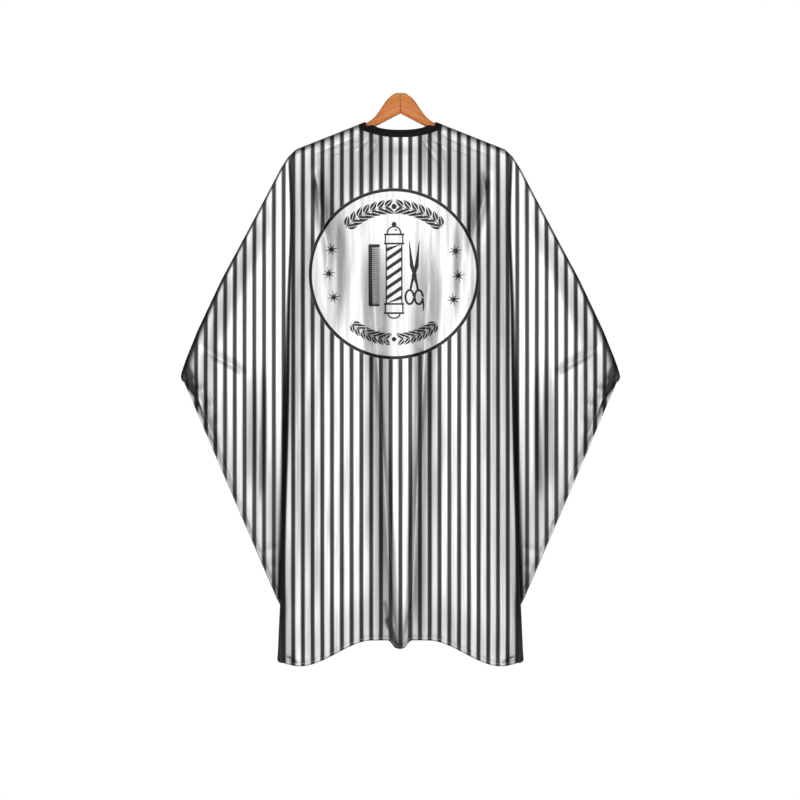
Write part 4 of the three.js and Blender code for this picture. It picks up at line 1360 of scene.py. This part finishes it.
# %% Riding
for piece in (front_cloth, print_film, bands["front"], tapes["front"],
              stitches["front_hem"], stitches["band_front"]):
    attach(piece, "cape")
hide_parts("front_panel")
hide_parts("neckband_front")
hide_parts("elastic_front")
for side, word in SIDES:
    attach(arms[word], "hanger")
    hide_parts(f"hanger_arm_{word}")
    for piece in (wings[word], stitches[f"wing_{word}"]):
        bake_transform(piece)
    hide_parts(f"wing_{word}", f"side_pleat_{word}")
    for piece in (flaps[word], bands[word], tapes[word], stitches[f"flap_{word}"], stitches[f"band_{word}"]):
        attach(piece, f"flap_{word}")
    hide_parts(f"back_flap_{word}")
    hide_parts(f"neckband_back_{word}")
    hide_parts(f"elastic_back_{word}")
for node, (part, word) in snaps.items():
    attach(part, f"flap_{word}")
    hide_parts(node)
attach(label, "flap_left")
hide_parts("care_label")


# %% Cut sizes of the sheets
def flat_area(piece):
    """Area of a sheet in its flat coordinates, counting one face of the cloth."""
    mesh = piece.data
    uv = np.empty(len(mesh.loops) * 2)
    mesh.uv_layers[0].data.foreach_get("uv", uv)
    corner = uv.reshape(-1, 4, 2)
    following = np.roll(corner, -1, 1)
    twice = np.abs(np.sum(corner[..., 0] * following[..., 1] - following[..., 0] * corner[..., 1], axis=1))
    return twice.sum() / 2 / 2


flat_area(front_cloth)
for side, word in SIDES:
    flat_area(wings[word])
    flat_area(flaps[word])
print("flat areas:", [round(flat_area(piece), 4) for piece in CLOTHS])

# %% [markdown]
# ## Stage and light
# A pale floor lies well below the hanging cape, outside the picture, and a white world closes it off. One
# large soft lamp hangs above the camera's line, so that satin facing it shines and every fold turns dark. A
# second lamp lights the back.

# %% Stage
FLOOR_SIZE, FLOOR_Z = 4.6, -1.9
FILL_LIGHT, SIDE_LIGHT = 0.75, 0.04
STAGE_WHITE = "#f4f4f2"
bpy.ops.object.select_all(action="DESELECT")
bpy.ops.mesh.primitive_plane_add(size=FLOOR_SIZE, location=(0, 0, FLOOR_Z))
floor = bpy.context.object
floor.name = "floor"
paint, _ = new_material("stage_paint", roughness=0.9, base_color=colour(STAGE_WHITE),
                        emission_color=colour(STAGE_WHITE), emission_strength=0.55)
floor.data.materials.append(paint)

world = bpy.data.worlds.new("world")
bpy.context.scene.world = world
bpy.context.scene.view_settings.view_transform = "Standard"
world.use_nodes = True
tree = world.node_tree
tree.nodes["Background"].inputs["Color"].default_value = (1, 1, 1, 1)
way_in = add_node(tree, "SeparateXYZ", {0: add_node(tree, "TexCoord")["Generated"]})["Y"]
facing = add_node(tree, "Math", {0: way_in}, operation="ABSOLUTE")[0]
facing = add_node(tree, "Math", {0: facing, 1: 2.5}, operation="POWER")[0]
strength = add_node(tree, "Math", {0: facing, 1: FILL_LIGHT, 2: SIDE_LIGHT}, operation="MULTIPLY_ADD")[0]
fill = add_node(tree, "Background", {"Color": (1, 1, 1, 1), "Strength": strength})[0]
seen = add_node(tree, "LightPath")["Is Camera Ray"]
mixed = add_node(tree, "MixShader", {0: seen, 1: fill, 2: tree.nodes["Background"].outputs[0]})[0]
tree.links.new(mixed, tree.nodes["World Output"].inputs["Surface"])


# %% Lamps
def area_light(name, place, aim, size, power):
    """A soft box aimed at a point."""
    data = bpy.data.lights.new(name, "AREA")
    data.size = size
    data.energy = power
    light = add_object(name, data)
    light.location = place
    light.rotation_euler = (Vector(aim) - Vector(place)).to_track_quat("-Z", "Y").to_euler()


area_light("key", (0, -5.2, -0.2), (0, 0, -0.65), 1.3, 84)
area_light("back_key", (0.8, 5.2, 0.4), (0, 0, -0.6), 1.6, 70)
